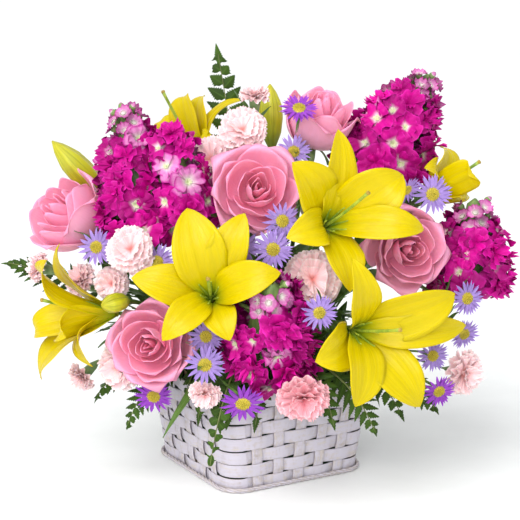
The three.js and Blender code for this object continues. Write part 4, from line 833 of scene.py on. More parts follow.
def leafy_rib(surface, line, first, lift, half, pairs, below, draw, oval=False):
    """Leaflets in pairs along an arched rib, from the share `first` of its length on."""
    rib = quadratic(*line, np.linspace(first, 1, RIB_STEPS))
    surface.tube(rib, np.linspace(1.0, 0.3, RIB_STEPS), 6, 1)
    spacing = np.linalg.norm(line[2] - rib[0]) / pairs
    for i in range(-below, pairs):
        for side in (1, -1):
            grown = (i + (0.35 if side > 0 else 0.65)) / pairs
            at = first + (1 - first) * (grown if i < 0 else grown ** 0.95)
            point = quadratic(*line, np.array((at - 0.01, at, at + 0.01)))
            along = unit(point[2] - point[0])
            side_on = unit(np.cross(along, lift))
            length = half * math.sin(math.pi * (0.3 + 0.67 * max(grown, 0))) ** 1.1
            tilt = lift * draw.uniform(-0.12, 0.12)
            way = unit(side_on * side + along * (0.5 + 0.5 * grown) + tilt)
            wide = spacing * (0.42 if oval else 0.47)
            long = length * (0.75 if oval else draw.uniform(0.96, 1.1))
            pinna(surface, point[1], way, lift, long, wide, draw, oval)
    end = unit(rib[-1] - rib[-4])
    pinna(surface, rib[-3], end, lift, spacing * 1.3, spacing * 0.3, draw, oval)


def pinna(surface, root, way, lift, length, wide, draw, oval):
    """A leaflet that droops a little, cut into pointed teeth or oval."""
    up = unit(np.cross(np.cross(way, lift), way))
    teeth = max(3, int(length / 2.4))
    s = ramp(4 * teeth + 1)
    saw = 1 - (s * teeth) % 1.0
    body = wide * np.where(s < 0.2, 0.5 + 2.5 * s, np.maximum(0, (1 - s) / 0.8) ** 0.9)
    if oval:
        reach = wide * np.sin(math.pi * s ** 0.8) ** 0.6 + 0.1
    else:
        reach = body * (0.66 + 0.34 * saw) + 0.1
    across = np.cross(up, way)
    droop = draw.uniform(0.1, 0.2)
    middle = root + way * (length * s)[:, None] - up * (droop * length * s ** 2)[:, None]
    v = np.linspace(-1, 1, 5)[None, :, None]
    edge = reach[:, None, None]
    points = middle[:, None] + across * v * edge + way * (edge * 0.55 * np.abs(v))
    surface.sheet(points - up * (0.25 * edge * v ** 2), 0, draw.uniform(0.15, 0.85))


def rim_sprigs(surface):
    """Sprigs that leave the foam's edge all round and arch over the rim."""
    draw = draws("rim sprigs")
    for i in range(RIM_SPRIGS):
        angle = in_ring(i, RIM_SPRIGS, 0.3, draw)
        c, s = math.cos(angle), math.sin(angle)
        rim = RIM_HALF * min(1 / max(abs(c), abs(s)), 1.28)
        out, aside = np.array((c, s, 0)), np.array((-s, c, 0)) * draw.uniform(-16, 16)
        places = (out * SPRIG_ROOT + UP * (FOAM_TOP - 2),
                  out * (rim + 2) + UP * (FOAM_TOP + draw.uniform(4, 12)) + aside * 0.4,
                  out * (rim + draw.uniform(12, 20)) + UP * draw.uniform(60, 84) + aside)
        line = [from_row(place * MM) for place in places]
        lift = unit(from_row((out + UP * 0.5) * MM))
        leafy_rib(surface, line, 0.12, lift, draw.uniform(14, 20), 5, 0, draw)


# Leaves

LEAF_THICK = 0.6


def leaf_axes(base, tip):
    """The middle of a leaf's arched midrib, and the ways across the blade and out of it."""
    reach = tip - base
    across = unit(np.cross(reach, UP))
    lift = unit(np.cross(across, reach))
    return base + reach * 0.5 + lift * np.linalg.norm(reach) * 0.12, across, lift


def leaf_sheet(surface, base, tip, half, draw):
    t = ramp(18)
    middle, across, lift = leaf_axes(base, tip)
    spine = quadratic(base, middle, tip, t)
    width = (half * np.sin(math.pi * t ** 0.8) ** 0.8 + 0.8 * (1 - t))[:, None, None]
    v = np.linspace(-1, 1, 9)[None, :, None]
    wave = 0.6 * np.sin(9 * t + draw.uniform(0, 6))[:, None, None] * np.abs(v) ** 2
    points = spine[:, None] + across * v * width
    points = points + lift * (0.25 * width * np.abs(v) ** 1.4 + wave)
    surface.sheet(points, 0, draw.uniform(0.3, 0.8))


def plant_leaves(plant, name):
    """Makes the leaves of a stem; returns the cuts that take their plain blades out."""
    leaves = [(np.array(base), spot(tip), half) for base, tip, half in plant.get("leaves", ())]
    if not leaves:
        return []
    draw = draws(name + "leaves")

    def fill(surface):
        for leaf in leaves:
            leaf_sheet(surface, *leaf, draw)
    build_with(name + "_leaves", ["leaf"], [name], "stems", fill, LEAF_THICK)
    return [leaf_cut(*leaf) for leaf in leaves]


def stalk_leaves(surface, node, cut, count, length, half):
    """Narrow leaves on the bare stretches of a node's stems, each from a face of the solid."""
    draw = draws(node + "stalk")
    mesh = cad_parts[node].data
    middles = from_row(np.array([face.center for face in mesh.polygons]))
    normals = from_row(np.array([face.normal for face in mesh.polygons]) * MM)
    areas = np.array([face.area for face in mesh.polygons])
    areas[middles[:, 2] < FOAM_TOP + 7] = 0
    if cut is not None:
        areas[cut(middles)] = 0
    if areas.sum() == 0:
        return
    for face in draw.choices(range(len(areas)), areas, k=count):
        corners = [mesh.vertices[v].co for v in mesh.polygons[face].vertices]
        shares = np.array([draw.random() + 0.02 for _ in corners])
        base = (from_row(np.array(corners)) * (shares / shares.sum())[:, None]).sum(0)
        outward = unit(normals[face]) + unit(base - (0, 0, 60)) * 0.9
        out = unit(outward + UP * draw.uniform(0, 0.5))
        long = length * draw.uniform(0.7, 1.2)
        leaf_sheet(surface, base, base + out * long, half * draw.uniform(0.8, 1.2), draw)


# Stems: finer copies of the solids' stems, without the heads at their ends. A cut says which faces
# of a copy to leave out, by their middles.

def fine_copy(node, name, finish, cut, swell, replaced=True):
    """Makes a smoothed copy of a node, without what is cut and swollen by that much."""
    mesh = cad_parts[node].data.copy()
    mesh.name = name
    mesh.materials.clear()
    work = bmesh.new()
    work.from_mesh(mesh)
    bmesh.ops.remove_doubles(work, verts=work.verts, dist=1e-6)
    if cut is not None:
        middles = from_row(np.array([face.calc_center_median() for face in work.faces]))
        doomed = [face for face, out in zip(work.faces, cut(middles)) if out]
        bmesh.ops.delete(work, geom=doomed, context="FACES")
    bmesh.ops.join_triangles(work, faces=work.faces, angle_face_threshold=0.5,
                             angle_shape_threshold=0.9)
    work.normal_update()
    for vertex in work.verts:
        vertex.co += vertex.normal * swell * MM
    work.to_mesh(mesh)
    work.free()
    mesh.materials.append(MATERIALS[finish])
    mesh.polygons.foreach_set("use_smooth", np.ones(len(mesh.polygons), bool))
    piece = bpy.data.objects.new(name, mesh)
    smooth = piece.modifiers.new("smoothing", "SUBSURF")
    smooth.levels = smooth.render_levels = 2
    settle(piece, [node] if replaced else [])


def nearest(middles, line):
    """How far each point is from the nearest point of a line."""
    return np.min(np.linalg.norm(middles[:, None] - line[None], axis=2), 1)


def any_of(cuts):
    """Joins several cuts into one, or none."""
    def cut(middles):
        return np.any([each(middles) for each in cuts], axis=0)
    return cut if cuts else None


def heads_cut(heads, behind):
    """Leaves out what lies in the heads of a spray, down to `behind` under each of them."""
    def head_cut(place, way, radius):
        place, turn = spot(place), turn_to(facing(way))

        def cut(middles):
            local = (middles - place) @ turn
            radial, height = np.hypot(local[:, 0], local[:, 1]), local[:, 2]
            petals = (height > -5) & (height < 16) & (radial < 1.2 * radius)
            return petals | (height > -behind) & (height <= -5) & (radial < 6.5)
        return cut
    return any_of([head_cut(*head) for head in heads])


def fronds_cut(start, fronds):
    """Leaves out the leaflets of fronds: what lies past the first leaflet of any of them."""
    def frond_cut(tip, bend, half, *rest):
        line = quadratic(start, spot(bend), spot(tip), np.linspace(FERN_FROM, 1, 20))
        way = unit(line[1] - line[0])

        def cut(middles):
            return ((middles - line[0]) @ way > -0.5) & (nearest(middles, line) < half * 1.2)
        return cut
    return any_of([frond_cut(*frond) for frond in fronds])


def bud_cut(bud):
    """Leaves out a bud, which lies along a line from just past its start."""
    start, end, axis = bud_frame(bud)
    start = start + axis * 2
    along = end - start

    def cut(middles):
        share = np.clip((middles - start) @ along / along.dot(along), 0, 1)
        away = np.linalg.norm(middles - (start + share[:, None] * along), axis=1)
        return (away < bud["radius"] * 1.3) & (share > 0.02)
    return cut


def leaf_cut(base, tip, half):
    """Leaves out a leaf's blade."""
    line = quadratic(base, leaf_axes(base, tip)[0], tip, ramp(24))

    def cut(middles):
        past = np.linalg.norm(middles - base, axis=1) > 7
        return (nearest(middles, line) < half * 1.25) & past
    return cut


# Shader groups and materials

MATERIALS = {}
GROUPS = {}
WHITE = (1.0, 1.0, 1.0, 1.0)


class Signal:
    """A value on its way through a shader's nodes, which takes plain arithmetic."""

    def __init__(self, tree, socket):
        self.tree, self.socket = tree, socket

    def reckon(self, operation, a, b=0.0):
        return made(self.tree, "ShaderNodeMath", {0: a, 1: b}, operation=operation)

    def __add__(self, other):
        return self.reckon("ADD", self, other)

    def __sub__(self, other):
        return self.reckon("SUBTRACT", self, other)

    def __rsub__(self, other):
        return self.reckon("SUBTRACT", other, self)

    def __mul__(self, other):
        return self.reckon("MULTIPLY", self, other)

    def __truediv__(self, other):
        return self.reckon("DIVIDE", self, other)

    def __pow__(self, other):
        return self.reckon("POWER", self, other)

    def __abs__(self):
        return self.reckon("ABSOLUTE", self)

    def sine(self):
        return self.reckon("SINE", self)

    def most(self, other):
        return self.reckon("MAXIMUM", self, other)

    def fade(self, low, high, start=0.0, end=1.0):
        """Goes smoothly from `start` to `end` while the value goes from `low` to `high`."""
        values = {0: self, 1: low, 2: high, 3: start, 4: end}
        return made(self.tree, "ShaderNodeMapRange", values, interpolation_type="SMOOTHSTEP")

    def speckle(self, scale, detail=3.0, rough=0.55):
        """Noise at the place that the value gives."""
        values = {"Vector": self, "Scale": scale, "Detail": detail, "Roughness": rough}
        return made(self.tree, "ShaderNodeTexNoise", values)


def add(tree, kind, values=None, **settings):
    """Adds a node: a value that is a signal is linked, and any other is set."""
    node = tree.nodes.new(kind)
    for name, value in settings.items():
        setattr(node, name, value)
    for key, value in (values or {}).items():
        if isinstance(value, Signal):
            tree.links.new(value.socket, node.inputs[key])
        else:
            node.inputs[key].default_value = value
    return node


def made(tree, kind, values=None, output=0, **settings):
    """Adds a node and gives one of its outputs."""
    return Signal(tree, add(tree, kind, values, **settings).outputs[output])


def vector(x, y, z):
    return made(x.tree, "ShaderNodeCombineXYZ", {0: x, 1: y, 2: z})


def blend(factor, a, b, mode="MIX"):
    """Mixes two colours by a factor."""
    return made(a.tree, "ShaderNodeMix", {0: factor, 6: a, 7: b}, 2, data_type="RGBA",
                blend_type=mode)


class ToneGroup:
    """A node group that finds a colour and a relief; `given` holds its inputs."""

    def __init__(self, name, given):
        self.tree = tree = bpy.data.node_groups.new(name, "ShaderNodeTree")
        for label, value in given.items():
            kind = "NodeSocketColor" if isinstance(value, tuple) else "NodeSocketFloat"
            socket = tree.interface.new_socket(name=label, in_out="INPUT", socket_type=kind)
            socket.default_value = value
        for label, kind in (("Color", "NodeSocketColor"), ("Relief", "NodeSocketFloat")):
            tree.interface.new_socket(name=label, in_out="OUTPUT", socket_type=kind)
        inputs = tree.nodes.new("NodeGroupInput").outputs
        self.given = {label: Signal(tree, inputs[label]) for label in given}
        GROUPS[name] = tree

    def in_space(self):
        return made(self.tree, "ShaderNodeTexCoord", output="Object")

    def on_sheet(self):
        """How far along and across its sheet a point is, and the tint of the sheet."""
        place = made(self.tree, "ShaderNodeUVMap", uv_map="surface")
        split = add(self.tree, "ShaderNodeSeparateXYZ", {0: place})
        u, v = (Signal(self.tree, split.outputs[i]) for i in (0, 1))
        tint = made(self.tree, "ShaderNodeAttribute", output="Fac", attribute_name="tint")
        return u, v, tint

    def finds(self, colour, relief):
        add(self.tree, "NodeGroupOutput", {"Color": colour, "Relief": relief})


def petal_group():
    group = ToneGroup("Petal tone", {
        "Body": WHITE, "Base": WHITE, "Edge": WHITE, "Base Reach": 0.3, "Edge Reach": 0.1,
        "Veins": 0.2, "Variation": 0.2, "Vein Count": 26.0, "Inner": WHITE, "Inner Share": 0.0})
    given, space = group.given, group.in_space()
    u, v, tint = group.on_sheet()
    base = (u / given["Base Reach"]).fade(0.0, 1.0, 1.0, 0.0)
    rim = u.most(abs(v * 2.0 - 1.0) * 0.94)
    edge = rim.fade(1.0 - given["Edge Reach"], 1.0)
    lines = vector(u * 1.6, (v - 0.5) * given["Vein Count"], tint * 37.0)
    veins = lines.speckle(1.0, 2.0).fade(0.38, 0.62)
    colour = blend(tint * given["Inner Share"], given["Body"], given["Inner"])
    colour = blend(edge, blend(base, colour, given["Base"]), given["Edge"])
    shaded = blend(1.0, colour, given["Base"], "MULTIPLY")
    colour = blend((1.0 - veins) * given["Veins"], colour, shaded)
    spread = (tint - 0.5) + (space.speckle(90.0) - 0.5)
    toned = {"Value": spread * given["Variation"] + 1.0, "Color": colour}
    group.finds(made(group.tree, "ShaderNodeHueSaturation", toned),
                veins * 0.7 + space.speckle(700.0, 2.0) * 0.3)


def leaf_group():
    group = ToneGroup("Leaf tone", {
        "Light": WHITE, "Dark": WHITE, "Rib": WHITE, "Veins": 0.3, "Vein Count": 22.0})
    given = group.given
    u, v, tint = group.on_sheet()
    middle = abs(v * 2.0 - 1.0)
    slant = u * given["Vein Count"] - middle * 2.5
    veins = abs((slant * math.pi).sine()).fade(0.0, 0.35, 1.0, 0.0)
    rib = middle.fade(0.05, 0.16, 1.0, 0.0)
    patches = group.in_space().speckle(55.0, 4.0)
    mixing = patches * 0.7 + tint * 0.4
    colour = blend(mixing.fade(0.25, 0.85), given["Dark"], given["Light"])
    marks = rib.most(veins * 0.5) * given["Veins"]
    group.finds(blend(marks, colour, given["Rib"]), patches * 0.4 - marks)


def stem_group():
    group = ToneGroup("Stem tone", {"Light": WHITE, "Dark": WHITE, "Streaks": 1.0})
    given, space = group.given, group.in_space()
    stretched = made(group.tree, "ShaderNodeMapping", {0: space, 3: (220.0, 220.0, 26.0)})
    streaks = stretched.speckle(given["Streaks"])
    mixing = streaks * 0.6 + space.speckle(40.0) * 0.4
    group.finds(blend(mixing.fade(0.35, 0.65), given["Dark"], given["Light"]), streaks)


# Wood under a white wash. Bare wood shows where the wash is rubbed through, which is real wear. As
# painted shade, it also shows along one edge of each strip, standing in for the shade in the
# crevices between strips.
def grain_group():
    group = ToneGroup("Wood grain", {
        "Light": WHITE, "Dark": WHITE, "Wash": WHITE, "Worn": 0.3, "Lines": 14.0})
    given = group.given
    u, v, tint = group.on_sheet()
    shift = tint * 23.0
    grain = vector(u * 9.0, v * given["Lines"], shift).speckle(1.0, 4.0, 0.62)
    wood = blend(grain.fade(0.35, 0.65), given["Dark"], given["Light"])
    rubbed = vector(u * 30.0, v * 3.0, shift).speckle(1.0, 4.0, 0.6)
    # The border term is painted shade: darker bare wood towards the edge where each strip's section
    # starts and ends. The grain and rubbed terms are real wear.
    border = abs(v * 2.0 - 1.0)
    bare = grain * 0.55 + rubbed * 0.45 + border ** 6.0 * 0.1
    covered = (bare - (0.9 - given["Worn"])).fade(-0.09, 0.09, 1.0, 0.0)
    group.finds(blend(covered, wood, given["Wash"]), grain * 0.7 + covered * 0.25)


def material(name, group, values, rough=0.5, relief=0.0004, coat=0.0, soft=0.0, sheen=0.0,
             shine=0.5):
    """A Principled material whose colour and bump come from a group."""
    finish = bpy.data.materials.new(name)
    finish.use_nodes = True
    tree = finish.node_tree
    tree.nodes.clear()
    tone = add(tree, "ShaderNodeGroup", node_tree=GROUPS[group])
    for label, value in values.items():
        tone.inputs[label].default_value = value
    height = Signal(tree, tone.outputs["Relief"])
    bump = made(tree, "ShaderNodeBump", {"Height": height, "Distance": relief, "Strength": 0.8})
    gloss = height.fade(0.0, 1.0, min(1.0, rough + 0.1), max(0.05, rough - 0.1))
    shader = made(tree, "ShaderNodeBsdfPrincipled", {
        "Base Color": Signal(tree, tone.outputs["Color"]), "Roughness": gloss, "Normal": bump,
        "Coat Weight": coat, "Coat Roughness": 0.35, "Subsurface Weight": soft,
        "Subsurface Radius": (1.0, 0.8, 0.5), "Subsurface Scale": 0.003, "Sheen Weight": sheen,
        "Specular IOR Level": shine,
    })
    add(tree, "ShaderNodeOutputMaterial", {0: shader})
    MATERIALS[name] = finish


def petal_finish(name, body, base, edge, reaches=(0.3, 0.1), veins=0.2, variation=0.2,
                 vein_count=26.0, inner=WHITE, inner_share=0.0, **surface):
    values = {"Body": body, "Base": base, "Edge": edge, "Base Reach": reaches[0],
              "Edge Reach": reaches[1], "Veins": veins, "Variation": variation,
              "Vein Count": vein_count, "Inner": inner, "Inner Share": inner_share}
    material(name, "Petal tone", values, **surface)


def plain_finish(name, light, dark, streaks=1.0, **surface):
    material(name, "Stem tone", {"Light": light, "Dark": dark, "Streaks": streaks}, **surface)


def make_finishes(colours):
    for build in (petal_group, leaf_group, stem_group, grain_group):
        build()

    def tinted(name, factor=1):
        return (*(min(1.0, c * factor) for c in getattr(colours, name)), 1.0)

    petal_finish("lily petal", tinted("lily"), (0.28, 0.42, 0.01, 1), tinted("lily", 1.06),
                 (0.38, 0.12), 0.08, 0.14, 16.0, rough=0.34, relief=0.00012, soft=0.3, shine=0.2)
    plain_finish("lily heart", (0.42, 0.50, 0.05, 1), (0.16, 0.28, 0.03, 1), rough=0.4)
    plain_finish("lily stigma", (0.50, 0.34, 0.03, 1), (0.26, 0.16, 0.02, 1), 4.0, rough=0.35)
    petal_finish("bud", (0.52, 0.52, 0.015, 1), (0.26, 0.36, 0.03, 1), (0.62, 0.56, 0.01, 1),
                 (0.5, 0.25), 0.35, 0.2, 40.0, rough=0.42, relief=0.0006, soft=0.2)
    petal_finish("rose petal", tinted("rose"), (0.92, 0.72, 0.55, 1), (1.0, 0.32, 0.52, 1),
                 (0.2, 0.14), 0.06, 0.1, 30.0, (1.0, 0.24, 0.42, 1), 0.75, rough=0.55,
                 relief=0.00012, soft=0.35, sheen=0.1, shine=0.3)
    petal_finish("stock petal", tinted("stock"), (0.94, 0.84, 0.86, 1), (0.56, 0.01, 0.30, 1),
                 (0.44, 0.1), 0.25, 0.95, 12.0, rough=0.6, relief=0.0002, shine=0.2)
    petal_finish("stock eye", (0.80, 0.82, 0.55, 1), (0.62, 0.68, 0.30, 1), (0.85, 0.80, 0.75, 1),
                 relief=0.0003)
    plain_finish("stock bud", (0.24, 0.36, 0.10, 1), (0.10, 0.18, 0.05, 1))
    petal_finish("stock bud tip", (0.66, 0.20, 0.48, 1), (0.84, 0.84, 0.74, 1),
                 (0.50, 0.01, 0.28, 1), (0.6, 0.24), variation=0.5, relief=0.0003, shine=0.3)
    petal_finish("carnation petal", tinted("carnation"), (0.86, 0.34, 0.30, 1),
                 (0.99, 0.86, 0.86, 1), (0.5, 0.14), 0.2, 0.08, 24.0, rough=0.6, relief=0.0002,
                 soft=0.2, sheen=0.2)
    petal_finish("deep carnation petal", (0.90, 0.44, 0.50, 1), (0.78, 0.18, 0.24, 1),
                 (0.95, 0.62, 0.66, 1), (0.5, 0.14), 0.3, 0.2, 24.0, rough=0.6, relief=0.0005,
                 soft=0.1, sheen=0.2)
    for name, colour in (("aster ray", "aster"), ("violet ray", "violet")):
        petal_finish(name, tinted(colour), tinted(colour, 0.75), tinted(colour, 1.25), (0.4, 0.3),
                     0.2, 0.35, 5.0, rough=0.55, relief=0.0003, sheen=0.1)
    petal_finish("aster disc", (0.74, 0.60, 0.06, 1), (0.50, 0.50, 0.07, 1), (0.88, 0.74, 0.16, 1),
                 variation=0.5, rough=0.6)
    plain_finish("calyx", (0.22, 0.33, 0.13, 1), (0.09, 0.17, 0.06, 1))
    plain_finish("stem", tinted("leaf", 1.5), tinted("leaf", 0.6), rough=0.45)
    material("leaf", "Leaf tone", {
        "Light": tinted("leaf", 1.35), "Dark": tinted("leaf", 0.6), "Rib": tinted("leaf", 2.4)},
        0.38, 0.0006, soft=0.05)
    material("fern frond", "Leaf tone", {
        "Light": tinted("fern", 1.3), "Dark": tinted("fern", 0.55), "Rib": tinted("fern", 2.2),
        "Veins": 0.35, "Vein Count": 9.0}, 0.45, 0.0005, shine=0.2)
    plain_finish("fern rib", (0.20, 0.24, 0.06, 1), (0.09, 0.11, 0.03, 1))
    wood = {"Light": (0.56, 0.50, 0.47, 1), "Dark": (0.33, 0.27, 0.25, 1), "Wash": tinted("wash")}
    # The number after the wash sets how much darker bare wood shows. It covers both the rubbed wear
    # and the painted shade along the strips' edges.
    material("washed strip", "Wood grain", {**wood, "Worn": 0.34}, 0.62, 0.0007)
    material("washed stake", "Wood grain", {**wood, "Worn": 0.38}, 0.62, 0.0007)
    material("twined cane", "Wood grain", {**wood, "Worn": 0.40, "Lines": 5.0}, 0.55, 0.0005)
    material("bent wood", "Wood grain", {
        "Light": tinted("handle", 1.15), "Dark": tinted("handle", 0.6),
        "Wash": tinted("handle", 1.3), "Worn": 0.55, "Lines": 18.0}, 0.5, 0.0005, coat=0.1)
    plain_finish("liner plastic", (0.05, 0.09, 0.05, 1), (0.03, 0.06, 0.03, 1), rough=0.4)
    plain_finish("wet foam", (0.09, 0.20, 0.07, 1), (0.05, 0.12, 0.04, 1), 5.0, rough=0.8,
                 relief=0.001)
    plain_finish("studio floor", (0.90, 0.91, 0.90, 1), (0.88, 0.89, 0.88, 1), 0.1, rough=0.85,
                 relief=0.00005, shine=0.2)


# Basket, built in its own frame

STRIP_OVER = 2.1
STRIP_BEHIND = -0.7
STRIP_THICK = 0.9
STAKE_FACE = 1.1
PITCH_UP = BASKET_HEIGHT / ROWS
CANE_TWISTS = 26
FLOOR_STRIPS = 7
HANDLE_HALF = 5.15


def wall_half(z):
    return FOOT_HALF + (RIM_HALF - FOOT_HALF) * z / BASKET_HEIGHT


def ring_stations(steps_side, steps_corner):
    """Places round the wall: side, place along it in shares of its half, angle round the corner,
    and the count of stakes passed."""
    stations = []
    for side in range(4):
        first = side * STAKES_PER_SIDE
        for along in np.linspace(-1, 1, steps_side, endpoint=False):
            stations.append((side, along, 0.0, first + (along + 1) / 2 * STAKES_PER_SIDE - 0.5))
        for angle in np.linspace(0, math.pi / 2, steps_corner, endpoint=False):
            stations.append((side, 1.0, angle, first + STAKES_PER_SIDE - 0.5))
    return stations


def wall_point(station, z, out):
    side, along, angle = station[:3]
    corner = wall_half(z) - CORNER_RADIUS
    x = along * corner + (CORNER_RADIUS + out) * math.sin(angle)
    y = -corner - (CORNER_RADIUS + out) * math.cos(angle)
    c, s = (1, 0, -1, 0)[side], (0, 1, 0, -1)[side]
    return c * x - s * y, s * x + c * y, z


def around_wall(surface, stations, outline, tint=0.5):
    """Sweeps a closed outline of (height, out) round the wall; it may change on the way."""
    rows = np.array([[wall_point(station, z, out) for z, out in outline(station)]
                     for station in stations])
    surface.sheet(np.concatenate((rows, rows[:1])), 0, tint, True, (0, 4.0))


def strip_outline(low, high, out, thick, crown):
    """A thin strip's section with round edges and a face that stands out a little in its middle."""
    def height(s):
        return low + (high - low) * s

    def bulge(s):
        return crown * (1 - (2 * s - 1) ** 2)
    front = [(height(s), out + bulge(s) - thick * 0.5 * (s in (0.0, 1.0)))
             for s in (0.0, 0.03, 0.12, 0.35, 0.65, 0.88, 0.97, 1.0)]
    return front + [(height(s), out - thick + 0.6 * bulge(s)) for s in (0.94, 0.5, 0.06)]


def weave_strips(surface):
    """Rows of flat strips that pass before and behind the stakes in turn."""
    draw = draws("weave")
    stations = ring_stations(60, 7)
    for row in range(ROWS):
        phase, wander = draw.uniform(0, ANY_ANGLE), draw.uniform(0.8, 1.2)

        def outline(station):
            passed = station[3]
            beat = math.cos(math.pi * (passed + row + 1))
            level = 0.5 + 0.5 * math.copysign(abs(beat) ** 0.55, beat)
            out = STRIP_BEHIND + (STRIP_OVER - STRIP_BEHIND) * level
            bob = 0.28 * wander * math.sin(passed * 0.9 + phase)
            bob += 0.16 * math.sin(passed * 2.3 + 2 * phase)
            low = max(0.4, row * PITCH_UP + 0.45 + bob)
            high = min(BASKET_HEIGHT - 0.2, (row + 1) * PITCH_UP - 0.45 + bob)
            return strip_outline(low, high, out, STRIP_THICK, 0.32)
        around_wall(surface, stations, outline, draw.random())


# A stake's section: places across it in shares of its half width, and how far behind its face
STAKE_SECTION = ((-1, 0.45), (-0.93, 0.08), (-0.5, 0), (0, -0.08), (0.5, 0), (0.93, 0.08),
                 (1, 0.45), (0.6, 0.8), (-0.6, 0.8))
# A floor strip's section: places across it in shares of its half width, and heights
FLOOR_SECTION = ((-1, 0), (-0.9, 0.34), (0, 0.42), (0.9, 0.34), (1, 0), (0.9, -0.34), (0, -0.42),
                 (-0.9, -0.34))


def weave_stakes(surface):
    """Upright stakes that pass behind and before the strips in turn."""
    draw = draws("stakes")
    for stake in range(4 * STAKES_PER_SIDE):
        side, place = divmod(stake, STAKES_PER_SIDE)
        middle = (place - (STAKES_PER_SIDE - 1) / 2) * 2 / STAKES_PER_SIDE
        wide = draw.uniform(10.2, 11.4)
        lean = draw.uniform(-0.35, 0.35)
        rows = []
        for z in np.linspace(0.4, BASKET_HEIGHT - 0.3, 43):
            row = z / PITCH_UP - 0.5
            beat = math.cos(math.pi * (stake + row + 1))
            out = STAKE_FACE - 0.85 * beat * abs(math.sin(math.pi * (row + 0.5))) ** 0.4
            corner = wall_half(z) - CORNER_RADIUS
            centre = middle + lean * (z / BASKET_HEIGHT - 0.5) / corner
            rows.append([wall_point((side, centre + s * wide / 2 / corner, 0.0), z, out - back)
                         for s, back in STAKE_SECTION])
        surface.sheet(np.array(rows), 1, draw.random(), True, (0, 0.7))


def weave_floor(surface):
    """Broad strips of the base, each over one of the crossing strips and under the next."""
    half = FOOT_HALF - WALL - 0.6
    pitch = 2 * half / FLOOR_STRIPS
    draw = draws("floor")
    for way in (0, 1):
        for j in range(FLOOR_STRIPS):
            centre = -half + (j + 0.5) * pitch
            short = max(0.0, abs(centre) + pitch * 0.45 - (half - CORNER_RADIUS))
            round_corner = math.sqrt(max(0.0, CORNER_RADIUS ** 2 - short ** 2))
            reach = half - CORNER_RADIUS + round_corner - 0.6
            rows = []
            for s in np.linspace(-reach, reach, 57):
                beat = math.cos(math.pi * ((s + half) / pitch - 0.5 + j + way))
                z = 1.5 + 0.55 * math.copysign(abs(beat) ** 0.6, beat)
                rows.append([(centre + across * pitch * 0.46, s, z + up)
                             for across, up in FLOOR_SECTION])
            points = np.array(rows)
            if way:
                points = points[..., (1, 0, 2)]
            surface.sheet(points, 0, draw.random(), True, (0, 1.0))


def weave(surface):
    weave_strips(surface)
    weave_stakes(surface)
    weave_floor(surface)


def rim_band(surface):
    """The hoop outside the top edge."""
    def outline(station):
        low = BASKET_HEIGHT - 8 + 0.15 * math.sin(station[3] * 1.3)
        return strip_outline(low, BASKET_HEIGHT + 1, 4.0, 1.5, 0.28)
    around_wall(surface, ring_stations(24, 9), outline, 0.4)


def foot_border(surface):
    """Three thin canes laid round each other."""
    stations = ring_stations(96, 24)
    for strand in range(3):
        rows = []
        for i, station in enumerate(stations):
            angle = FULL_TURN * (CANE_TWISTS * i / len(stations) + strand / 3)
            z, out = 2.3 + 1.05 * math.cos(angle), 3.75 + 0.9 * math.sin(angle)
            rows.append([wall_point(station, z + 1.18 * math.cos(a), out + 0.95 * math.sin(a))
                         for a in np.arange(8) * math.pi / 4])
        rows.append(rows[0])
        surface.sheet(np.array(rows), 0, 0.3 + 0.2 * strand, True, (0, 6.0))


def blunt(value, power):
    return math.copysign(abs(value) ** power, value)


def handle_strip(surface):
    """The bent strip: its line first, then a rounded section swept along it."""
    def leg(z):
        return wall_half(z) - WALL - GAP - HANDLE_THICK / 2
    rise = HANDLE_TOP - HANDLE_THICK / 2 - BASKET_HEIGHT
    arch = [(leg(BASKET_HEIGHT) * math.cos(a), BASKET_HEIGHT + rise * math.sin(a))
            for a in np.linspace(0, math.pi, 73)]
    rising = [(leg(z), z) for z in np.linspace(HANDLE_FOOT, BASKET_HEIGHT, 12, endpoint=False)]
    line = np.array([(x, 0, z) for x, z in rising + arch + [(-x, z) for x, z in reversed(rising)]])
    across = np.array((0.0, 1.0, 0.0))
    rows = []
    for point, way in zip(line, headings(line)):
        away = np.cross(across, way)
        rows.append([point + across * blunt(math.cos(a), 0.35) * HANDLE_HALF
                     + away * blunt(math.sin(a), 0.6) * HANDLE_THICK / 2
                     for a in np.arange(16) * math.pi / 8 + math.pi / 16])
    rows = np.array(rows)
    surface.sheet(rows, 0, 0.5, True, (0, 4.0))
    for ring in (rows[0], rows[-1]):
        inner = ring.mean(0) + (ring - ring.mean(0)) * 0.02
        surface.sheet(np.stack((ring, inner)), 0, 0.5, True)


# The pieces, one operator for each kind

# Narrow leaves on a spray for each of its heads
LEAVES_A_HEAD = 6


def build_with(name, finishes, replaced, slot, fill, thick=0.0, in_row=False):
    """Fills a surface and makes a piece of it, unless nothing came of it."""
    surface = Surface()
    fill(surface)
    if surface.points:
        surface.build(name, finishes, replaced, slot, thick, in_row)


def dress_stem(plant, swell, count, length, half):
    """Gives a stem its leaves and buds, a round copy of its solid and narrow leaves along it."""
    name = plant["name"] + "_stem"
    cuts = plant_leaves(plant, name)
    for bud in BUDS:
        if bud["owner"] == plant["name"]:
            cuts.append(bud_cut(bud))
            build_with(plant["name"] + "_bud", ["bud"], [name], "lily_buds",
                       lambda surface: bud_parts(surface, bud))
    cut = any_of(cuts)
    fine_copy(name, name + "_round", "stem", cut, swell)
    build_with(name + "_blades", ["leaf"], [name], "stems",
               lambda surface: stalk_leaves(surface, name, cut, count, length, half))


def dress_spray(name, heads, behind, swell, count, length, half):
    """Gives a spray round copies of its stalks and narrow leaves along them."""
    cut = heads_cut(heads, behind)
    fine_copy(name, name + "_stalks", "stem", cut, swell, replaced=False)
    build_with(name + "_stalk_leaves", ["leaf"], [name], "stems",
               lambda surface: stalk_leaves(surface, name, cut, count, length, half))


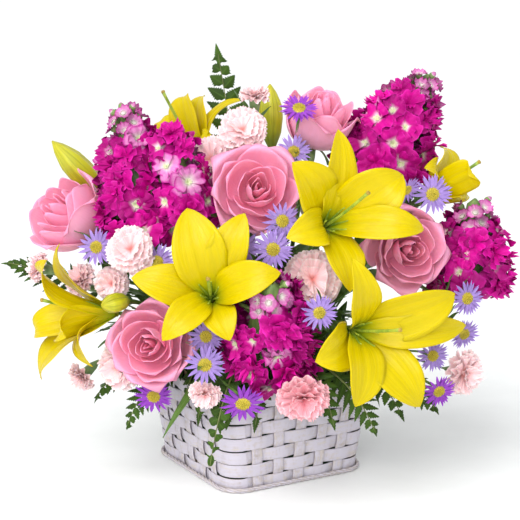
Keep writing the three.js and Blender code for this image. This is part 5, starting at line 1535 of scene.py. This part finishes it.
def make_heads(node, heads, name, finishes, slot, head_parts):
    """Makes one piece of the heads of a spray; each has its own source of draws."""
    def fill(surface):
        for i, (place, way, radius) in enumerate(heads):
            head_parts(surface, draws(f"{node}{i}"), spot(place), facing(way), radius)
    build_with(name, finishes, [node], slot, fill)


class BASKET_PG_sizes(bpy.types.PropertyGroup):
    petal_thickness: bpy.props.FloatProperty(
        name="Petal thickness", description="Thickness of lily and rose petals, in millimetres",
        default=0.45, min=0.1, max=1.5)
    stem_swell: bpy.props.FloatProperty(
        name="Stem swell",
        description="How far round stems stand out from their solids, in millimetres",
        default=0.45, min=0.0, max=1.0)
    light_power: bpy.props.FloatProperty(
        name="Light power", description="Strength of the studio light", default=2.1, min=0.0)


class BASKET_PG_colours(bpy.types.PropertyGroup):
    lily: bpy.props.FloatVectorProperty(
        name="Lily", description="Colour of the lilies' tepals", subtype="COLOR",
        default=(0.60, 0.455, 0.0))
    rose: bpy.props.FloatVectorProperty(
        name="Rose", description="Colour of the roses' petals", subtype="COLOR",
        default=(1.0, 0.41, 0.60))
    stock: bpy.props.FloatVectorProperty(
        name="Stock", description="Colour of the stock florets", subtype="COLOR",
        default=(0.42, 0.0, 0.19))
    carnation: bpy.props.FloatVectorProperty(
        name="Carnation", description="Colour of the pale carnations", subtype="COLOR",
        default=(0.97, 0.70, 0.72))
    aster: bpy.props.FloatVectorProperty(
        name="Aster", description="Colour of the lavender asters", subtype="COLOR",
        default=(0.33, 0.21, 0.56))
    violet: bpy.props.FloatVectorProperty(
        name="Violet", description="Colour of the violet asters", subtype="COLOR",
        default=(0.28, 0.03, 0.48))
    leaf: bpy.props.FloatVectorProperty(
        name="Leaf", description="Colour of stems and leaves", subtype="COLOR",
        default=(0.075, 0.16, 0.022))
    fern: bpy.props.FloatVectorProperty(
        name="Fern", description="Colour of the fern fronds", subtype="COLOR",
        default=(0.040, 0.088, 0.008))
    wash: bpy.props.FloatVectorProperty(
        name="White wash", description="Paint on the basket's strips", subtype="COLOR",
        default=(0.55, 0.515, 0.59))
    handle: bpy.props.FloatVectorProperty(
        name="Handle", description="Colour of the bent wood", subtype="COLOR",
        default=(0.36, 0.22, 0.12))


class BASKET_OT_finishes(bpy.types.Operator):
    """Makes the shader groups and the materials"""
    bl_idname = "basket.finishes"
    bl_label = "Finishes"

    def execute(self, context):
        make_finishes(context.scene.basket_colours)
        return {"FINISHED"}


class BASKET_OT_basket(bpy.types.Operator):
    """Weaves the basket, its rim and its foot border"""
    bl_idname = "basket.basket"
    bl_label = "Basket"

    def execute(self, context):
        build_with("basket_strips", ["washed strip", "washed stake"], ["basket_weave"], "basket",
                   weave, in_row=True)
        build_with("basket_rim_strip", ["washed strip"], ["basket_rim"], "basket", rim_band,
                   in_row=True)
        build_with("basket_foot_canes", ["twined cane"], ["basket_foot"], "cane", foot_border,
                   in_row=True)
        return {"FINISHED"}


class BASKET_OT_handle(bpy.types.Operator):
    """Bends the handle"""
    bl_idname = "basket.handle"
    bl_label = "Handle"

    def execute(self, context):
        build_with("handle_strip", ["bent wood"], ["handle"], "bentwood", handle_strip, in_row=True)
        return {"FINISHED"}


class BASKET_OT_filling(bpy.types.Operator):
    """Finishes the liner and the foam, which keep their solids"""
    bl_idname = "basket.filling"
    bl_label = "Liner and foam"

    def execute(self, context):
        for node, finish in (("liner", "liner plastic"), ("foam", "wet foam")):
            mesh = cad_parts[node].data
            mesh.materials.clear()
            mesh.materials.append(MATERIALS[finish])
        return {"FINISHED"}


class BASKET_OT_lilies(bpy.types.Operator):
    """Makes the lilies, their stems, leaves and buds"""
    bl_idname = "basket.lilies"
    bl_label = "Lilies"

    def execute(self, context):
        sizes = context.scene.basket_sizes
        for lily in LILIES:
            name = lily["name"]
            build_with(name + "_bloom", ["lily petal", "lily heart", "lily stigma"], [name],
                       "lily_petals", lambda surface: lily_parts(surface, lily),
                       sizes.petal_thickness)
            dress_stem(lily, sizes.stem_swell, count=16, length=42, half=6)
        bud = BUDS[0]
        build_with("lily_bud_left_head", ["bud"], ["lily_bud_left"], "lily_buds",
                   lambda surface: bud_parts(surface, bud))
        fine_copy("lily_bud_left", "lily_bud_left_stalk", "stem", bud_cut(bud),
                  sizes.stem_swell, replaced=False)
        return {"FINISHED"}


class BASKET_OT_roses(bpy.types.Operator):
    """Makes the roses and their stems"""
    bl_idname = "basket.roses"
    bl_label = "Roses"

    def execute(self, context):
        sizes = context.scene.basket_sizes
        for rose in ROSES:
            name = rose["name"]
            build_with(name + "_bloom", ["rose petal"], [name], "rose_petals",
                       lambda surface: rose_parts(surface, rose), sizes.petal_thickness)
            build_with(name + "_hip", ["calyx"], [name + "_stem"], "stems",
                       lambda surface: rose_hip(surface, rose), HIP_THICK)
            dress_stem(rose, sizes.stem_swell, count=10, length=34, half=9)
        return {"FINISHED"}


class BASKET_OT_stock(bpy.types.Operator):
    """Makes the spikes of stock and their stems"""
    bl_idname = "basket.stock"
    bl_label = "Stock"

    def execute(self, context):
        finishes = ["stock petal", "stock eye", "stock bud", "stock bud", "stock bud tip"]
        swell = context.scene.basket_sizes.stem_swell
        for stock in STOCKS:
            build_with(stock["name"] + "_florets", finishes, [stock["name"]], "stock_florets",
                       lambda surface: stock_parts(surface, stock))
            dress_stem(stock, swell, count=12, length=36, half=6)
        return {"FINISHED"}


class BASKET_OT_sprays(bpy.types.Operator):
    """Makes the carnations and the asters, with their stems"""
    bl_idname = "basket.sprays"
    bl_label = "Carnations and asters"

    def execute(self, context):
        swell = context.scene.basket_sizes.stem_swell
        for spray in CARNATIONS:
            name, heads = spray["name"], spray["heads"]
            petals = "deep carnation petal" if name == DEEP_CARNATION else "carnation petal"
            make_heads(name, heads, name + "_blooms", [petals], "carnations", carnation_parts)
            make_heads(name, heads, name + "_calyces", ["calyx"], "stems", carnation_calyx)
            count = 8 + LEAVES_A_HEAD * len(heads)
            dress_spray(name, heads, CALYX_LENGTH, swell, count, length=30, half=3.4)
        for spray in ASTERS:
            name, heads = spray["name"], spray["heads"]
            for colour, violet in (("aster", False), ("violet", True)):
                chosen = [head for head in heads if (head[0][:2] in VIOLET_HEADS) == violet]
                make_heads(name, chosen, f"{name}_{colour}", [colour + " ray", "aster disc"],
                           "asters", aster_parts)
            make_heads(name, heads, name + "_cups", ["calyx"], "stems", aster_cup)
            count = 10 + LEAVES_A_HEAD * len(heads)
            dress_spray(name, heads, CUP_LENGTH, swell, count, length=24, half=2.8)
        return {"FINISHED"}


class BASKET_OT_ferns(bpy.types.Operator):
    """Makes the fern fronds and the sprigs round the rim"""
    bl_idname = "basket.ferns"
    bl_label = "Fern"

    def execute(self, context):
        starts = root_starts()
        finishes = ["fern frond", "fern rib"]
        for fern in FERNS:
            name, fronds = fern["name"], fern["fronds"]
            start, draw = starts[name], draws(name)

            def fill(surface):
                for frond in fronds:
                    frond_parts(surface, start, frond, draw)
            build_with(name + "_fronds", finishes, [name], "fern", fill)
            fine_copy(name, name + "_stalk", "fern rib", fronds_cut(start, fronds), 0.2,
                      replaced=False)
        build_with("rim_sprigs", finishes, [], "fern", rim_sprigs)
        return {"FINISHED"}


# Studio: a floor that sweeps up far away, one sun, two soft lamps and an even sky

FLOOR_HALF = 15000
FLOOR_LEVEL = 7000
FLOOR_RISE = 6000
SKY_COLOUR = (0.95, 0.97, 1.0, 1)
SKY_STRENGTH = 0.62
SUN_WAY = (550.0, 700.0, -1000.0)
SUN_ANGLE = math.radians(50)
SENSOR_WIDTH = 36
SEEN_TO = 60
# Soft lamps: name, place in the bouquet's frame in millimetres, width in metres and how many
# times the light's power
LAMPS = (("front light", (-200, -1400, 700), 0.8, 5), ("back light", (300, 900, 1300), 1.0, 1.5))


class BASKET_OT_stage(bpy.types.Operator):
    """Sets the floor, which sweeps up far from the basket, the lights and the camera"""
    bl_idname = "basket.stage"
    bl_label = "Stage"

    def execute(self, context):
        scene = context.scene
        plate = studio_floor()
        scene.collection.objects.link(plate)
        power = scene.basket_sizes.light_power
        daylight(power)
        for name, place, width, share in LAMPS:
            lamp(name, place, width, power * share)
        camera_at_photograph(scene)
        scene.view_settings.view_transform = "Standard"
        world = bpy.data.worlds.new("studio")
        world.use_nodes = True
        sky = world.node_tree.nodes["Background"].inputs
        sky[0].default_value = SKY_COLOUR
        sky[1].default_value = SKY_STRENGTH
        scene.world = world
        return {"FINISHED"}


def studio_floor():
    surface = Surface()
    reach = np.linspace(-FLOOR_HALF, FLOOR_HALF, 61)
    x, y = np.meshgrid(reach, reach, indexing="ij")
    swept = np.clip((np.hypot(x, y) - FLOOR_LEVEL) / (FLOOR_HALF - FLOOR_LEVEL), 0, 1)
    surface.sheet(np.stack((x, y, FLOOR_RISE * swept ** 2 * (3 - 2 * swept)), -1))
    mesh = bpy.data.meshes.new("floor")
    points, faces = np.concatenate(surface.points) * MM, np.concatenate(surface.faces)
    mesh.from_pydata(points.tolist(), [], faces.tolist())
    mesh.polygons.foreach_set("use_smooth", np.ones(len(mesh.polygons), bool))
    mesh.materials.append(MATERIALS["studio floor"])
    return bpy.data.objects.new("floor", mesh)


def hang(light, energy, way):
    """Hangs a light that shines one way in the row's frame."""
    light.energy = energy
    holder = bpy.data.objects.new(light.name, light)
    holder.rotation_euler = way.to_track_quat("-Z", "Y").to_euler()
    bpy.context.scene.collection.objects.link(holder)
    return holder


def daylight(power):
    """Even light from the upper left in front, soft enough to blur its shadows."""
    light = bpy.data.lights.new("daylight", "SUN")
    light.angle = SUN_ANGLE
    hang(light, power, Vector(to_row(SUN_WAY)))


def lamp(name, place, width, power):
    """A square soft light, aimed at the middle of the flowers."""
    light = bpy.data.lights.new(name, "AREA")
    light.size = width
    where = Vector(to_row(place))
    hang(light, power, Vector((0, 0, 0.2)) - where).location = where


def camera_at_photograph(scene):
    camera = bpy.data.cameras.new("camera")
    camera.sensor_width = SENSOR_WIDTH
    camera.lens = camera.sensor_width / 2 / math.tan(VIEW_HALF)
    camera.clip_end = SEEN_TO
    holder = bpy.data.objects.new("camera", camera)
    axes = np.stack([to_row(way * 1000) for way in (RIGHT, RISE, -AHEAD)], 1)
    turn = Matrix(axes.tolist()).to_4x4()
    holder.matrix_world = Matrix.Translation(Vector(to_row(EYE))) @ turn
    scene.collection.objects.link(holder)
    scene.camera = holder


class BASKET_PT_panel(bpy.types.Panel):
    """Lists the steps that build the arrangement"""
    bl_label = "Basket"
    bl_idname = "BASKET_PT_panel"
    bl_space_type = "VIEW_3D"
    bl_region_type = "UI"
    bl_category = "Basket"

    def draw(self, context):
        for group in (context.scene.basket_sizes, context.scene.basket_colours):
            for name in group.bl_rna.properties.keys():
                if name not in ("rna_type", "name"):
                    self.layout.prop(group, name)
        for step in STEPS:
            self.layout.operator(step.bl_idname)


STEPS = (
    BASKET_OT_finishes, BASKET_OT_basket, BASKET_OT_handle, BASKET_OT_filling, BASKET_OT_lilies,
    BASKET_OT_roses, BASKET_OT_stock, BASKET_OT_sprays, BASKET_OT_ferns, BASKET_OT_stage,
)
CLASSES = (BASKET_PG_sizes, BASKET_PG_colours, *STEPS, BASKET_PT_panel)


def register():
    for each in CLASSES:
        bpy.utils.register_class(each)
    bpy.types.Scene.basket_sizes = bpy.props.PointerProperty(type=BASKET_PG_sizes)
    bpy.types.Scene.basket_colours = bpy.props.PointerProperty(type=BASKET_PG_colours)


def unregister():
    del bpy.types.Scene.basket_colours
    del bpy.types.Scene.basket_sizes
    for each in reversed(CLASSES):
        bpy.utils.unregister_class(each)


def main():
    register()
    bpy.ops.basket.finishes()
    bpy.ops.basket.basket()
    bpy.ops.basket.handle()
    bpy.ops.basket.filling()
    bpy.ops.basket.lilies()
    bpy.ops.basket.roses()
    bpy.ops.basket.stock()
    bpy.ops.basket.sprays()
    bpy.ops.basket.ferns()
    bpy.ops.basket.stage()


if __name__ == "__main__":
    main()
